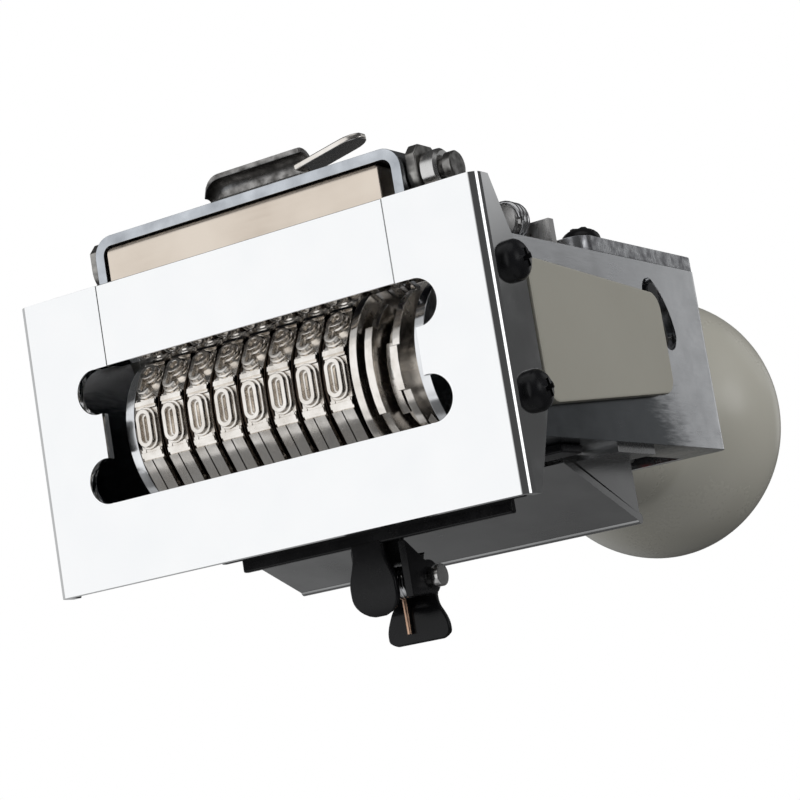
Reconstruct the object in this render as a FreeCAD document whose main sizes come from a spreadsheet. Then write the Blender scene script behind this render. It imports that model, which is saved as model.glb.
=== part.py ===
"""Hand numbering machine: a self-inking stamp with eight digit wheels.

Millimetres. +Z is up (towards the handle), -Y is the front (the ink pad's side) and +X is the
right side. The origin is the middle of the foot plate's underside. The machine is drawn pressed
down: the wheels stand in the foot's window and the ink pad has swung out to the front.
"""
import FreeCAD, Part
import Sketcher
import math
import os

doc = FreeCAD.newDocument("NumberingMachine")
sheet = doc.addObject("Spreadsheet::Sheet", "Sizes")
NODES = []


class Size:
    """A number together with the spreadsheet expression that gives it."""

    def __init__(self, value, text):
        self.value = float(value)
        self.text = text

    def _join(self, other, sign, turned=False):
        other = as_size(other)
        first, second = (other, self) if turned else (self, other)
        results = {
            "+": lambda: first.value + second.value,
            "-": lambda: first.value - second.value,
            "*": lambda: first.value * second.value,
            "/": lambda: first.value / second.value,
        }
        return Size(results[sign](), f"({first.text} {sign} {second.text})")

    def __add__(self, other):
        return self._join(other, "+")

    def __radd__(self, other):
        return self._join(other, "+", turned=True)

    def __sub__(self, other):
        return self._join(other, "-")

    def __rsub__(self, other):
        return self._join(other, "-", turned=True)

    def __mul__(self, other):
        return self._join(other, "*")

    def __rmul__(self, other):
        return self._join(other, "*", turned=True)

    def __truediv__(self, other):
        return self._join(other, "/")

    def __neg__(self):
        return Size(-self.value, f"(0 - {self.text})")


def as_size(value):
    return value if isinstance(value, Size) else Size(value, f"({value!r})")


def polar(radius, angle, centre=(0.0, 0.0)):
    """The point at a radius and an angle in degrees (from the first axis) around a centre."""
    radius, angle = as_size(radius), as_size(angle)
    turn = math.radians(angle.value)
    return (
        centre[0] + radius * Size(math.cos(turn), f"cos({angle.text})"),
        centre[1] + radius * Size(math.sin(turn), f"sin({angle.text})"),
    )


def size(name, value, meaning):
    """Writes one driving dimension into the spreadsheet and gives it back."""
    row = size.rows = getattr(size, "rows", 0) + 1
    sheet.set(f"A{row}", meaning)
    sheet.set(f"B{row}", str(value))
    sheet.setAlias(f"B{row}", name)
    return Size(value, f"Sizes.{name}")


# Foot: a pressed plate with a window for the wheels and a flange up each side
foot_width = size("foot_width", 66.0, "foot plate, left to right")
foot_depth = size("foot_depth", 36.2, "foot plate, front to back")
gauge = size("gauge", 1.2, "thickness of the foot and frame sheet")
bend = size("bend", 1.5, "outer radius of the sheet's bends")
flange_height = size("flange_height", 7.9, "height of the foot's side flanges")
flange_top = size("flange_top", 16.0, "length of a flange's level top edge")
flange_toe = size("flange_toe", 3.0, "height of a flange at its front and rear ends")
window_width = size("window_width", 44.8, "window in the foot, left to right")
window_depth = size("window_depth", 16.4, "window in the foot, front to back")
lobe_radius = size("lobe_radius", 2.75, "radius of the window's corner lobes")
lobe_reach = size("lobe_reach", 0.5, "how far a lobe's centre is outside the window's end")
bar_width = size("bar_width", 41.4, "front bar let into the foot plate")
seam = size("seam", 0.06, "gap at each end of the front bar")
lip_height = size("lip_height", 1.3, "height of the front bar's stiffening lip")
screw_radius = size("screw_radius", 2.45, "pan head of the foot and plate screws")
shank_radius = size("shank_radius", 1.5, "shank of the foot and plate screws")
head_height = size("head_height", 2.0, "height of the pan heads")
screw_pitch = size("screw_pitch", 14.8, "spacing of the foot screws, front to back")
screw_level = size("screw_level", 5.2, "height of the foot screws")
screw_ahead = size("screw_ahead", 0.8, "how far the foot screws stand ahead of the middle")
screw_end = size("screw_end", 0.8, "how far a foot screw's end stands inside the frame")

# Frame: an inverted U with lips at the rear, a front plate and two side covers
frame_top = size("frame_top", 57.7, "top of the frame's bridge")
frame_front = size("frame_front", 12.1, "frame's front edge, ahead of the handle's axis")
frame_rear = size("frame_rear", 11.3, "frame's rear face, behind the handle's axis")
rear_lip = size("rear_lip", 6.0, "width of the rear lips")
rear_lip_low = size("rear_lip_low", 10.0, "lower end of the rear lips")
plate_gauge = size("plate_gauge", 1.9, "thickness of the front plate")
plate_low = size("plate_low", 26.4, "lower edge of the front plate")
plate_rise = size("plate_rise", 0.5, "how far the front plate stands above the bridge")
plate_screw_x = size("plate_screw_x", 28.6, "front plate's screws, from the middle")
plate_screw_low = size("plate_screw_low", 6.0, "plate screws, above the plate's lower edge")
corner = size("corner", 2.4, "corner radius of the front plate and the covers")
cover_gauge = size("cover_gauge", 1.4, "thickness of the side covers")
cover_low = size("cover_low", 8.3, "lower edge of the side covers")
cover_top = size("cover_top", 42.0, "upper edge of the side covers")
cover_foot_front = size("cover_foot_front", 9.3, "cover's lower front corner")
cover_foot_rear = size("cover_foot_rear", 7.9, "cover's lower rear corner")
cover_top_front = size("cover_top_front", 7.6, "cover's upper front corner")
cover_top_rear = size("cover_top_rear", 5.0, "cover's upper rear corner")

# Handle and plunger
travel = size("travel", 22.0, "rise of the plunger from the pressed pose")
rod_radius = size("rod_radius", 4.0, "plunger rod")
rod_grip = size("rod_grip", 6.0, "how far the rod reaches into the knob above the spring chamber")
stud_radius = size("stud_radius", 3.0, "plunger rod's threaded end")
stud_end = size("stud_end", 0.8, "how far the threaded end stands below its nut")
nut_radius = size("nut_radius", 5.6, "plunger nut over its corners")
nut_height = size("nut_height", 2.6, "height of the plunger nut")
running_gap = size("running_gap", 0.05, "radial clearance of the running fits")
bush_radius = size("bush_radius", 6.0, "plunger bush in the bridge")
bush_flange = size("bush_flange", 8.2, "radius of the bush's flange")
bush_drop = size("bush_drop", 0.8, "how far the bush stands below the bridge")
knob_radius = size("knob_radius", 19.5, "widest part of the handle knob")
knob_level = size("knob_level", 106.0, "height of the knob's widest part")
knob_crown = size("knob_crown", 13.0, "height of the knob above its widest part")
knob_belly = size("knob_belly", 17.0, "depth of the knob's rounded underside")
neck_low = size("neck_low", 60.4, "lower end of the handle's neck")
neck_foot = size("neck_foot", 10.2, "radius of the neck's lower end")
neck_head = size("neck_head", 12.6, "radius of the neck under the knob")
neck_sink = size("neck_sink", 4.0, "how far the neck reaches up into the knob")
chamber_radius = size("chamber_radius", 7.4, "spring chamber inside the neck")
chamber_top = size("chamber_top", 98.0, "ceiling of the spring chamber")
coil_radius = size("coil_radius", 5.9, "mean radius of the return spring")
coil_wire = size("coil_wire", 0.7, "wire radius of the return spring")

# Carriage: two side plates joined by a bridge under the plunger
shaft_level = size("shaft_level", 13.3, "height of the wheel shaft")
shaft_radius = size("shaft_radius", 2.5, "wheel shaft")
carriage_half = size("carriage_half", 21.4, "carriage's outer face from the middle")
carriage_gauge = size("carriage_gauge", 1.3, "thickness of the carriage plates")
carriage_radius = size("carriage_radius", 10.3, "round lower end of the carriage plates")
carriage_top = size("carriage_top", 33.0, "top of the carriage")
neck_front = size("neck_front", 5.8, "front edge of the carriage plates' upper part")
neck_rear = size("neck_rear", 7.5, "rear edge of the carriage plates' upper part")
side_play = size("side_play", 0.3, "axial play of the shaft, its discs and the pins")
shaft_clip_radius = size("shaft_clip_radius", 3.3, "shaft clips")
shaft_clip_play = size("shaft_clip_play", 0.1, "how far the shaft stands outside its clips")
rail_depth = size("rail_depth", 1.8, "thickness of the detent bar")
rail_low = size("rail_low", 27.2, "lower face of the detent bar")
rail_high = size("rail_high", 30.2, "upper face of the detent bar")
blade_low = size("blade_low", 22.6, "lower end of the detent springs")
blade_half = size("blade_half", 1.3, "half of a detent spring's width")
blade_gauge = size("blade_gauge", 0.4, "thickness of the detent springs")

# Wheels on the shaft, then the discs to the right of them
wheel_count = 8
wheel_first = size("wheel_first", 18.1, "first wheel's middle, left of the centre")
wheel_pitch = size("wheel_pitch", 3.92, "spacing of the digit wheels")
wheel_width = size("wheel_width", 3.4, "width of a digit wheel")
wheel_radius = size("wheel_radius", 11.5, "digit wheel over its corners")
ratchet_radius = size("ratchet_radius", 9.4, "ratchet rim beside the digits")
ratchet_width = size("ratchet_width", 0.45, "width of the ratchet rim")
wheel_gap = size("wheel_gap", 0.08, "radial clearance of a wheel on the shaft")
spacer_width = size("spacer_width", 0.3, "thickness of the spacers between wheels")
spacer_radius = size("spacer_radius", 10.0, "radius of the spacers")
disc_width = size("disc_width", 1.05, "thickness of the drive and repeat discs")
disc_gap = size("disc_gap", 0.65, "gap between those discs")
disc_radius = size("disc_radius", 11.0, "radius of the drive disc")
repeat_radius = size("repeat_radius", 10.4, "radius of the repeat discs")
repeat_count = 3
pawl_inner = size("pawl_inner", 11.9, "inner radius of the pawl bar")
pawl_outer = size("pawl_outer", 13.4, "outer radius of the pawl bar")
pawl_angle = size("pawl_angle", 150.0, "pawl bar's angle around the shaft")
pawl_half = size("pawl_half", 1.5, "half of the pawl bar's width")
pawl_root = size("pawl_root", 40.0, "angle to each side of the pawl arm's root")
pawl_eye = size("pawl_eye", 2.2, "wall of the pawl arm's eye")
pawl_play = size("pawl_play", 0.15, "gap between the pawl arm and the carriage")

# Ink pad and its holder, which swing on the carriage
pad_pivot_y = size("pad_pivot_y", 5.0, "pad pivot, ahead of the shaft")
pad_pivot_z = size("pad_pivot_z", 14.0, "pad pivot's height")
pivot_radius = size("pivot_radius", 1.5, "pad pivot pins")
pivot_head = size("pivot_head", 2.6, "heads of the pad and lever pivot pins")
pivot_head_height = size("pivot_head_height", 0.9, "height of those heads")
felt_face = size("felt_face", 17.3, "inking face of the pad, ahead of the shaft")
felt_width = size("felt_width", 38.2, "ink pad, left to right")
case_shift = size("case_shift", 0.6, "how far the pad case stands to the left in its holder")
case_wall = size("case_wall", 0.7, "wall of the pad case")
case_front = size("case_front", 23.1, "front face of the pad case")
case_lip = size("case_lip", 0.9, "how far the felt stands out of the case")
case_low = size("case_low", 2.9, "underside of the pad case")
case_high = size("case_high", 15.3, "top of the pad case")
case_gap = size("case_gap", 0.1, "gap between the pad case and its holder, and under the clip")
holder_gauge = size("holder_gauge", 1.3, "thickness of the pad holder")
holder_half = size("holder_half", 22.2, "pad holder's outer face from the middle")
arm_gauge = size("arm_gauge", 1.4, "thickness of the pad arms")
arm_gap = size("arm_gap", 0.1, "gap between the holder and an arm")
arm_hub = size("arm_hub", 3.2, "radius of a pad arm's eye")
arm_tip = size("arm_tip", 2.72, "radius of a pad arm's front end")
arm_front = size("arm_front", 24.4, "pad arm's front edge, ahead of the shaft")
arm_corner = size("arm_corner", 1.2, "chamfer of a pad arm's front corners")
holder_pin_y = size("holder_pin_y", 21.0, "holder pin, ahead of the shaft")
holder_pin_z = size("holder_pin_z", 6.6, "holder pin's height")
holder_pin = size("holder_pin", 1.2, "radius of the holder pins")
collar_radius = size("collar_radius", 2.5, "radius of the holder pins' collars")
collar_width = size("collar_width", 2.3, "width of the holder pins' collars")
pin_head = size("pin_head", 1.75, "heads of the holder pins")
pin_head_width = size("pin_head_width", 1.6, "width of the holder pins' heads")

# Clip on the pad holder: a trough-shaped lever on a hinge, and a thumb tab beside it
clip_left = size("clip_left", 8.3, "clip lever's left end, left of the middle")
clip_right = size("clip_right", 6.2, "clip lever's right end, right of the middle")
clip_level = size("clip_level", 8.2, "height of the middle of the clip's trough")
clip_trough = size("clip_trough", 2.3, "outer radius of the clip's trough")
clip_gauge = size("clip_gauge", 0.6, "thickness of the clip's sheet")
clip_hinge = size("clip_hinge", 0.6, "radius of the clip's hinge rib")
clip_hinge_level = size("clip_hinge_level", 6.2, "height of the clip's hinge")
tab_end = size("tab_end", 14.9, "right end of the thumb tab")
tab_rise = size("tab_rise", 4.2, "how far the thumb tab stands out")
tab_gauge = size("tab_gauge", 0.8, "thickness of the thumb tab")
tab_low = size("tab_low", 6.6, "lower edge of the thumb tab")
tab_high = size("tab_high", 10.6, "upper edge of the thumb tab")

# Pad springs: a coil on an upright post at each side of the frame's front edge
spring_ahead = size("spring_ahead", 3.2, "pad springs' posts, ahead of the frame")
spring_inset = size("spring_inset", 3.3, "pad springs' posts, inside the foot's flange")
spring_low = size("spring_low", 15.4, "lower end of the pad springs")
spring_high = size("spring_high", 18.0, "upper end of the pad springs")
spring_outer = size("spring_outer", 2.6, "outer radius of a pad spring")
spring_inner = size("spring_inner", 1.5, "inner radius of a pad spring")
post_radius = size("post_radius", 1.4, "spring posts")
post_head = size("post_head", 2.1, "heads of the spring posts")
ear_front = size("ear_front", 0.3, "how far a spring ear stays behind the middle of its post")
post_head_height = size("post_head_height", 0.7, "height of the post heads")

# Rear: guard panel, latch bar and finger latch
guard_half = size("guard_half", 25.4, "rear guard's outer face from the middle")
guard_gauge = size("guard_gauge", 1.0, "thickness of the rear guard")
guard_low = size("guard_low", 24.0, "lower edge of the rear guard")
guard_top = size("guard_top", 42.0, "upper edge of the rear guard")
guard_foot = size("guard_foot", 11.6, "how far back the guard's lower edge is")
guard_head = size("guard_head", 18.6, "how far back the guard's upper edge is")
guard_inset = size("guard_inset", 0.9, "how far a gusset starts above the guard's lower edge")
guard_ear = size("guard_ear", 4.0, "how far the guard's ears stay inside its height")
guard_rest = size("guard_rest", 0.2, "gap between the guard's gussets and the frame")
hem_radius = size("hem_radius", 0.7, "rolled hem along the guard's upper edge")
latch_level = size("latch_level", 19.2, "underside of the latch bar")
latch_gauge = size("latch_gauge", 1.1, "thickness of each latch bar layer")
latch_front = size("latch_front", 0.7, "gap between the frame and the latch bar")
under_half = size("under_half", 22.0, "latch bar's lower layer, half of its length")
under_rear = size("under_rear", 16.0, "latch bar's lower layer, rear edge")
over_half = size("over_half", 19.6, "latch bar's upper layer, half of its length")
over_rear = size("over_rear", 17.5, "latch bar's upper layer, rear edge")
tab_half = size("tab_half", 29.5, "outer edge of the latch bar's mounting tabs")
tab_drop = size("tab_drop", 3.0, "how far the mounting tabs reach down")
tie_overlap = size("tie_overlap", 1.0, "overlap of the bar with its tabs")
tongue_half = size("tongue_half", 4.0, "half of the tongue's width")
tongue_end = size("tongue_end", 26.5, "rear end of the tongue")
tongue_root = size("tongue_root", 0.5, "overlap of the tongue with the bar")
ear_half = size("ear_half", 2.2, "half of an ear's width around the latch pin")
latch_pin_y = size("latch_pin_y", 22.3, "latch pin, behind the handle's axis")
latch_pin_z = size("latch_pin_z", 26.0, "latch pin's height")
latch_pin = size("latch_pin", 1.0, "radius of the latch pin")
latch_head = size("latch_head", 1.4, "head of the latch pin")
latch_head_width = size("latch_head_width", 1.2, "width of that head")
latch_tail = size("latch_tail", 1.3, "riveted end of the latch pin")
latch_tail_width = size("latch_tail_width", 0.8, "width of the riveted end")
latch_grip = size("latch_grip", 0.4, "how far the pin stands out of the ears")
latch_coil = size("latch_coil", 2.1, "outer radius of the latch spring and of the hubs")
latch_coil_half = size("latch_coil_half", 1.4, "half of the latch spring's width")
cheek_in = size("cheek_in", 1.6, "inner face of the latch lever's cheeks")
cheek_out = size("cheek_out", 2.7, "outer face of the latch lever's cheeks")
cheek_half = size("cheek_half", 1.2, "half of a cheek's width")
strap_front = size("strap_front", 1.6, "front edge of the lever's strap, ahead of the pin")
strap_low = size("strap_low", 2.3, "underside of the lever's strap, above the pin")
strap_gauge = size("strap_gauge", 0.9, "thickness of the lever's sheet")
finger_half = size("finger_half", 4.4, "half of the finger plate's width")
finger_start = size("finger_start", 2.4, "start of the finger plate, behind the pin")
finger_end = size("finger_end", 7.7, "end of the finger plate, behind the pin")
finger_low = size("finger_low", 1.2, "underside of the finger plate, above the pin")
finger_gauge = size("finger_gauge", 1.0, "thickness of the finger plate")
link_front = size("link_front", 3.1, "front edge of the lever's links, ahead of the pin")
link_low = size("link_low", 1.5, "lower edge of the links, below the pin")
hook_end = size("hook_end", 7.3, "tip of the hook, ahead of the pin")
hook_gap = size("hook_gap", 0.8, "gap between the hook and the latch bar")

# Inside the frame: selector dial and drive lever
dial_radius = size("dial_radius", 6.4, "selector dial")
dial_x = size("dial_x", 15.5, "selector dial's middle, right of the centre")
dial_z = size("dial_z", 49.4, "selector dial's height")
dial_width = size("dial_width", 1.7, "thickness of the selector dial")
dial_gap = size("dial_gap", 0.2, "gap between the dial and its bracket")
bracket_gap = size("bracket_gap", 0.4, "gap between the detent springs and the dial's bracket")
bracket_gauge = size("bracket_gauge", 0.8, "thickness of the dial's bracket")
bracket_half = size("bracket_half", 3.5, "half of the bracket's width")
spindle_radius = size("spindle_radius", 1.4, "dial's spindle")
spindle_length = size("spindle_length", 2.6, "length of the dial's spindle")
lever_y = size("lever_y", 1.5, "drive lever's pivot, ahead of the handle's axis")
lever_z = size("lever_z", 38.5, "drive lever's pivot height")
lever_reach = size("lever_reach", 7.6, "drive lever's stud from its pivot")
lever_angle = size("lever_angle", 146.0, "stud's angle around the pivot")
lever_swing = size("lever_swing", 42.0, "drive lever's swing over the whole travel, degrees")
lever_gauge = size("lever_gauge", 1.4, "thickness of the drive lever")
lever_play = size("lever_play", 0.6, "gap between the drive lever and the frame")
lever_half = size("lever_half", 2.2, "half of the drive lever's width")
lever_eye = size("lever_eye", 3.2, "drive lever's eye around its pivot")
lever_stud = size("lever_stud", 1.5, "drive lever's stud")
lever_stud_end = size("lever_stud_end", 0.3, "how far the stud stands out of the frame")
slot_half = size("slot_half", 2.1, "half of the curved slot's width")
slot_past = size("slot_past", 2.0, "slot's length beyond the stud at rest, degrees")
slot_back = size("slot_back", 2.0, "slot's length beyond the stud at full travel, degrees")

side_in = foot_width / 2 - gauge * 2
side_out = foot_width / 2 - gauge
bridge_low = frame_top - gauge
plate_back = -frame_front
plate_face = -frame_front - plate_gauge
carriage_in = carriage_half - carriage_gauge
arm_in = holder_half + arm_gap
arm_out = arm_in + arm_gauge
case_back = -felt_face - case_lip
OVERCUT = 1.0  # how far a cutting tool runs past the face that it cuts
SPRING_TURNS = 9
BAND_SIDES = 11
RIM_SIDES = 20
REPEAT_SIDES = 12
NUT_SIDES = 6


# Building blocks
def bind(obj, prop, value):
    """Ties a property to the spreadsheet, or sets it where it is a plain number."""
    if isinstance(value, Size):
        obj.setExpression(prop, value.text)
    else:
        obj.setExpression(prop, repr(float(value)))


def place(obj, x, y, z):
    for letter, value in zip("xyz", (x, y, z)):
        bind(obj, f"Placement.Base.{letter}", value)


def block(name, low, high):
    """A box between two corners."""
    box = doc.addObject("Part::Box", name)
    for prop, start, end in zip(("Length", "Width", "Height"), low, high):
        bind(box, prop, as_size(end) - start)
    place(box, *low)
    return box


AXIS_TURNS = {
    "x": FreeCAD.Rotation(FreeCAD.Vector(0, 1, 0), 90),
    "y": FreeCAD.Rotation(FreeCAD.Vector(1, 0, 0), -90),
    "z": FreeCAD.Rotation(),
}


def point_on(axis, along, across):
    """The point at a distance along an axis, with its two other coordinates in X, Y, Z order."""
    first, second = across
    return {"x": (along, first, second), "y": (first, along, second), "z": (first, second, along)}[axis]


def rod(name, axis, across, start, end, radius):
    """A cylinder along an axis, from start to end."""
    cylinder = doc.addObject("Part::Cylinder", name)
    bind(cylinder, "Radius", radius)
    bind(cylinder, "Height", as_size(end) - start)
    cylinder.Placement.Rotation = AXIS_TURNS[axis]
    place(cylinder, *point_on(axis, start, across))
    return cylinder


def cone(name, across, start, end, radius_start, radius_end):
    """A cone along Z."""
    body = doc.addObject("Part::Cone", name)
    bind(body, "Radius1", radius_start)
    bind(body, "Radius2", radius_end)
    bind(body, "Height", as_size(end) - start)
    place(body, across[0], across[1], start)
    return body


def prism(name, axis, across, start, end, radius, sides):
    """A regular prism along an axis, over its corners."""
    body = doc.addObject("Part::Prism", name)
    body.Polygon = sides
    bind(body, "Circumradius", radius)
    bind(body, "Height", as_size(end) - start)
    body.Placement.Rotation = AXIS_TURNS[axis]
    place(body, *point_on(axis, start, across))
    return body


def fuse(name, pieces):
    joined = doc.addObject("Part::MultiFuse", name)
    joined.Shapes = pieces
    return joined


def cut(name, base, tools):
    """Takes one or more tools away from a base."""
    result = doc.addObject("Part::Cut", name)
    result.Base = base
    result.Tool = tools[0] if len(tools) == 1 else fuse(f"{name}_tools", tools)
    return result


def group(name, pieces):
    """Identical pieces that share one node, as separate solids."""
    together = doc.addObject("Part::Compound", name)
    together.Links = pieces
    return together


def mirror(name, piece):
    """The same piece on the other side of the YZ plane."""
    other = doc.addObject("Part::Mirroring", name)
    other.Source = piece
    other.Normal = FreeCAD.Vector(1, 0, 0)
    return other


def ring(name, axis, across, start, end, outer, inner):
    tube = rod(f"{name}_outer", axis, across, start, end, outer)
    bore = rod(f"{name}_bore", axis, across, as_size(start) - OVERCUT, as_size(end) + OVERCUT, inner)
    return cut(name, tube, [bore])


def outline_body(name, plane, points, start, length):
    """A PartDesign body: a closed outline on an origin plane, padded along the plane's normal."""
    body = doc.addObject("PartDesign::Body", name)
    sketch = body.newObject("Sketcher::SketchObject", f"{name}_outline")
    base = next(item for item in body.Origin.OriginFeatures if item.Role == plane)
    sketch.AttachmentSupport = (base, [""])
    sketch.MapMode = "FlatFace"
    bind(sketch, "AttachmentOffset.Base.z", start)
    sizes = [(as_size(first), as_size(second)) for first, second in points]
    ends = [FreeCAD.Vector(first.value, second.value, 0) for first, second in sizes]
    count = len(ends)
    for index in range(count):
        sketch.addGeometry(Part.LineSegment(ends[index], ends[(index + 1) % count]), False)
    for index in range(count):
        sketch.addConstraint(Sketcher.Constraint("Coincident", index, 2, (index + 1) % count, 1))
    for index, pair in enumerate(sizes):
        for kind, value in zip(("DistanceX", "DistanceY"), pair):
            number = sketch.addConstraint(Sketcher.Constraint(kind, -1, 1, index, 1, value.value))
            sketch.setExpression(f"Constraints[{number}]", value.text)
    pad = body.newObject("PartDesign::Pad", f"{name}_pad")
    pad.Profile = sketch
    bind(pad, "Length", length)
    doc.recompute()
    return body


def edges_at(shape, axis, places):
    """Numbers of the straight edges along an axis that pass through one of the given places."""
    others = [index for index in range(3) if index != "xyz".index(axis)]
    found = []
    for number, edge in enumerate(shape.Edges, start=1):
        if len(edge.Vertexes) != 2:
            continue
        ends = [vertex.Point for vertex in edge.Vertexes]
        if any(abs(ends[0][index] - ends[1][index]) > 1e-6 for index in others):
            continue
        for spot in places:
            near = [abs(ends[0][index] - as_size(value).value) for index, value in zip(others, spot)]
            if max(near) < 1e-4:
                found.append(number)
                break
    return found


def round_body(body, axis, places, radius):
    """Rounds a body's edges along an axis."""
    base = body.Tip
    numbers = edges_at(base.Shape, axis, places)
    fillet = body.newObject("PartDesign::Fillet", f"{body.Name}_round")
    fillet.Base = (base, [f"Edge{number}" for number in numbers])
    bind(fillet, "Radius", radius)
    body.Tip = fillet
    doc.recompute()
    return body


def round_solid(name, base, axis, places, radius):
    """Rounds the edges of a boolean result; the radius is read from the sheet."""
    doc.recompute()
    fillet = doc.addObject("Part::Fillet", name)
    fillet.Base = base
    fillet.Edges = [(number, radius.value, radius.value) for number in edges_at(base.Shape, axis, places)]
    return fillet


def pan_screw(name, axis, across, face, outward, grip):
    """A pan-head screw: its head stands on a face and its shank reaches in by the grip."""
    head_end = face + outward * head_height
    shank_end = face - outward * grip
    low, high = (face, head_end) if outward > 0 else (head_end, face)
    head = rod(f"{name}_head", axis, across, low, high, screw_radius)
    low, high = (shank_end, face) if outward > 0 else (face, shank_end)
    shank = rod(f"{name}_shank", axis, across, low, high, shank_radius)
    return fuse(name, [head, shank])


def node(label, piece):
    """Gives a sub-part the name of its file."""
    piece.Label = label
    NODES.append(piece)
    return piece


# Foot
def foot_screw_places():
    """Where the foot screws stand on each flange."""
    return [(y * screw_pitch / 2 - screw_ahead, screw_level) for y in (-1, 1)]


def make_foot():
    """The foot plate with its window and flanges, the front bar let into it and the foot screws."""
    half_w, half_d = foot_width / 2, foot_depth / 2
    base = block("foot_base", (-half_w, -half_d, 0), (half_w, half_d, gauge))
    flange = outline_body("foot_flange", "YZ_Plane", [
        (-half_d, 0), (half_d, 0), (half_d, flange_toe), (flange_top / 2, flange_height),
        (-flange_top / 2, flange_height), (-half_d, flange_toe),
    ], side_out, gauge)
    pressed = fuse("foot_pressed", [base, flange, mirror("foot_flange_left", flange)])
    bent = round_solid("foot_bent", pressed, "y", [(half_w, 0), (-half_w, 0)], bend)
    under, over = -gauge, gauge * 2
    window = block("foot_window", (-window_width / 2, -window_depth / 2, under),
                   (window_width / 2, window_depth / 2, over))
    notch = block("foot_notch", (-bar_width / 2, -half_d - OVERCUT, under), (bar_width / 2, 0, over))
    tools = [window, notch]
    for side in (-1, 1):
        for end in (-1, 1):
            across = (side * (window_width / 2 + lobe_reach), end * (window_depth / 2 - lobe_radius))
            tools.append(rod(f"foot_lobe_{side}_{end}".replace("-", "m"), "z", across, under, over,
                             lobe_radius))
    for number, across in enumerate(foot_screw_places()):
        tools.append(rod(f"foot_hole_{number}", "x", across, -half_w - OVERCUT, half_w + OVERCUT,
                         shank_radius + running_gap))
    node("foot_plate", cut("foot_plate", bent, tools))

    bar_half = bar_width / 2 - seam
    plate = block("bar_plate", (-bar_half, -half_d, 0), (bar_half, -window_depth / 2, gauge))
    lip = block("bar_lip", (-bar_half, -window_depth / 2 - gauge, gauge),
                (bar_half, -window_depth / 2, gauge + lip_height))
    node("foot_front_bar", fuse("foot_front_bar", [plate, lip]))

    screws = []
    for number, across in enumerate(foot_screw_places()):
        grip = gauge * 2 + screw_end
        screws.append(pan_screw(f"foot_screw_r{number}", "x", across, half_w, 1, grip))
        screws.append(pan_screw(f"foot_screw_l{number}", "x", across, -half_w, -1, grip))
    node("foot_screws", group("foot_screws", screws))


# Frame
def plate_screw_places():
    """Where the front plate's screws stand."""
    return [(side * plate_screw_x, plate_low + plate_screw_low) for side in (-1, 1)]


def curved_slot():
    """The drive lever's slot: a sector of a ring around the lever's pivot, with round ends."""
    inner, outer = lever_reach - slot_half, lever_reach + slot_half
    turn = lever_swing + slot_past + slot_back
    sector = doc.addObject("Part::Cylinder", "slot_sector")
    bind(sector, "Radius", outer)
    bind(sector, "Height", gauge + OVERCUT * 2)
    bind(sector, "Angle", turn)
    first = lever_angle.value + slot_past.value - turn.value
    about_x = FreeCAD.Rotation(FreeCAD.Vector(1, 0, 0), first)
    sector.Placement.Rotation = about_x.multiply(FreeCAD.Rotation(FreeCAD.Vector(1, 1, 1), 120))
    place(sector, side_in - OVERCUT, -lever_y, lever_z)
    core = rod("slot_core", "x", (-lever_y, lever_z), side_in - OVERCUT * 2, side_out + OVERCUT * 2, inner)
    band = cut("slot_band", sector, [core])
    starts = [polar(lever_reach, angle, (-lever_y, lever_z))
              for angle in (lever_angle + slot_past, lever_angle + slot_past - turn)]
    ends = [rod(f"slot_end_{number}", "x", spot, side_in - OVERCUT, side_out + OVERCUT, slot_half)
            for number, spot in enumerate(starts)]
    return fuse("curved_slot", [band, *ends])


def make_frame():
    """The inverted U of the frame, with lips at the rear, a bush hole and the lever's slot."""
    side = block("frame_side", (side_in, -frame_front, gauge), (side_out, frame_rear, frame_top))
    lip = block("frame_lip", (side_out - rear_lip, frame_rear - gauge, rear_lip_low),
                (side_out, frame_rear, frame_top))
    bridge = block("frame_bridge", (-side_out, -frame_front, bridge_low),
                   (side_out, frame_rear, frame_top))
    shell = fuse("frame_shell", [side, lip, bridge, mirror("frame_side_left", side),
                                 mirror("frame_lip_left", lip)])
    bent = round_solid("frame_bent", shell, "y", [(side_out, frame_top), (-side_out, frame_top)], bend)
    tools = [
        rod("bridge_hole", "z", (0, 0), bridge_low - OVERCUT, frame_top + OVERCUT, bush_radius),
        curved_slot(),
        rod("lever_hole", "x", (-lever_y, lever_z), side_in - OVERCUT, side_out + OVERCUT, pivot_radius),
    ]
    for number, across in enumerate(foot_screw_places()):
        tools.append(rod(f"frame_hole_{number}", "x", across, -side_out - OVERCUT, side_out + OVERCUT,
                         shank_radius + running_gap))
    node("frame_yoke", cut("frame_yoke", bent, tools))


def make_front_plate():
    top = frame_top + plate_rise
    body = outline_body("front_plate_body", "XZ_Plane", [
        (-side_out, plate_low), (side_out, plate_low), (side_out, top), (-side_out, top),
    ], frame_front, plate_gauge)
    places = [(x, z) for x in (-side_out, side_out) for z in (plate_low, top)]
    round_body(body, "y", places, corner)
    holes = [rod(f"plate_hole_{number}", "y", across, plate_face - OVERCUT, plate_back + OVERCUT,
                 shank_radius + running_gap) for number, across in enumerate(plate_screw_places())]
    node("front_plate", cut("front_plate", body, holes))
    screws = [pan_screw(f"plate_screw_{number}", "y", across, plate_face, -1, plate_gauge)
              for number, across in enumerate(plate_screw_places())]
    node("front_plate_screws", group("front_plate_screws", screws))


def make_side_covers():
    right = outline_body("cover_body", "YZ_Plane", [
        (-cover_foot_front, cover_low), (cover_foot_rear, cover_low),
        (cover_top_rear, cover_top), (-cover_top_front, cover_top),
    ], side_out, cover_gauge)
    places = [(-cover_foot_front, cover_low), (cover_foot_rear, cover_low),
              (cover_top_rear, cover_top), (-cover_top_front, cover_top)]
    round_body(right, "x", places, corner)
    node("side_cover_right", right)
    node("side_cover_left", mirror("side_cover_left", right))


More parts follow.
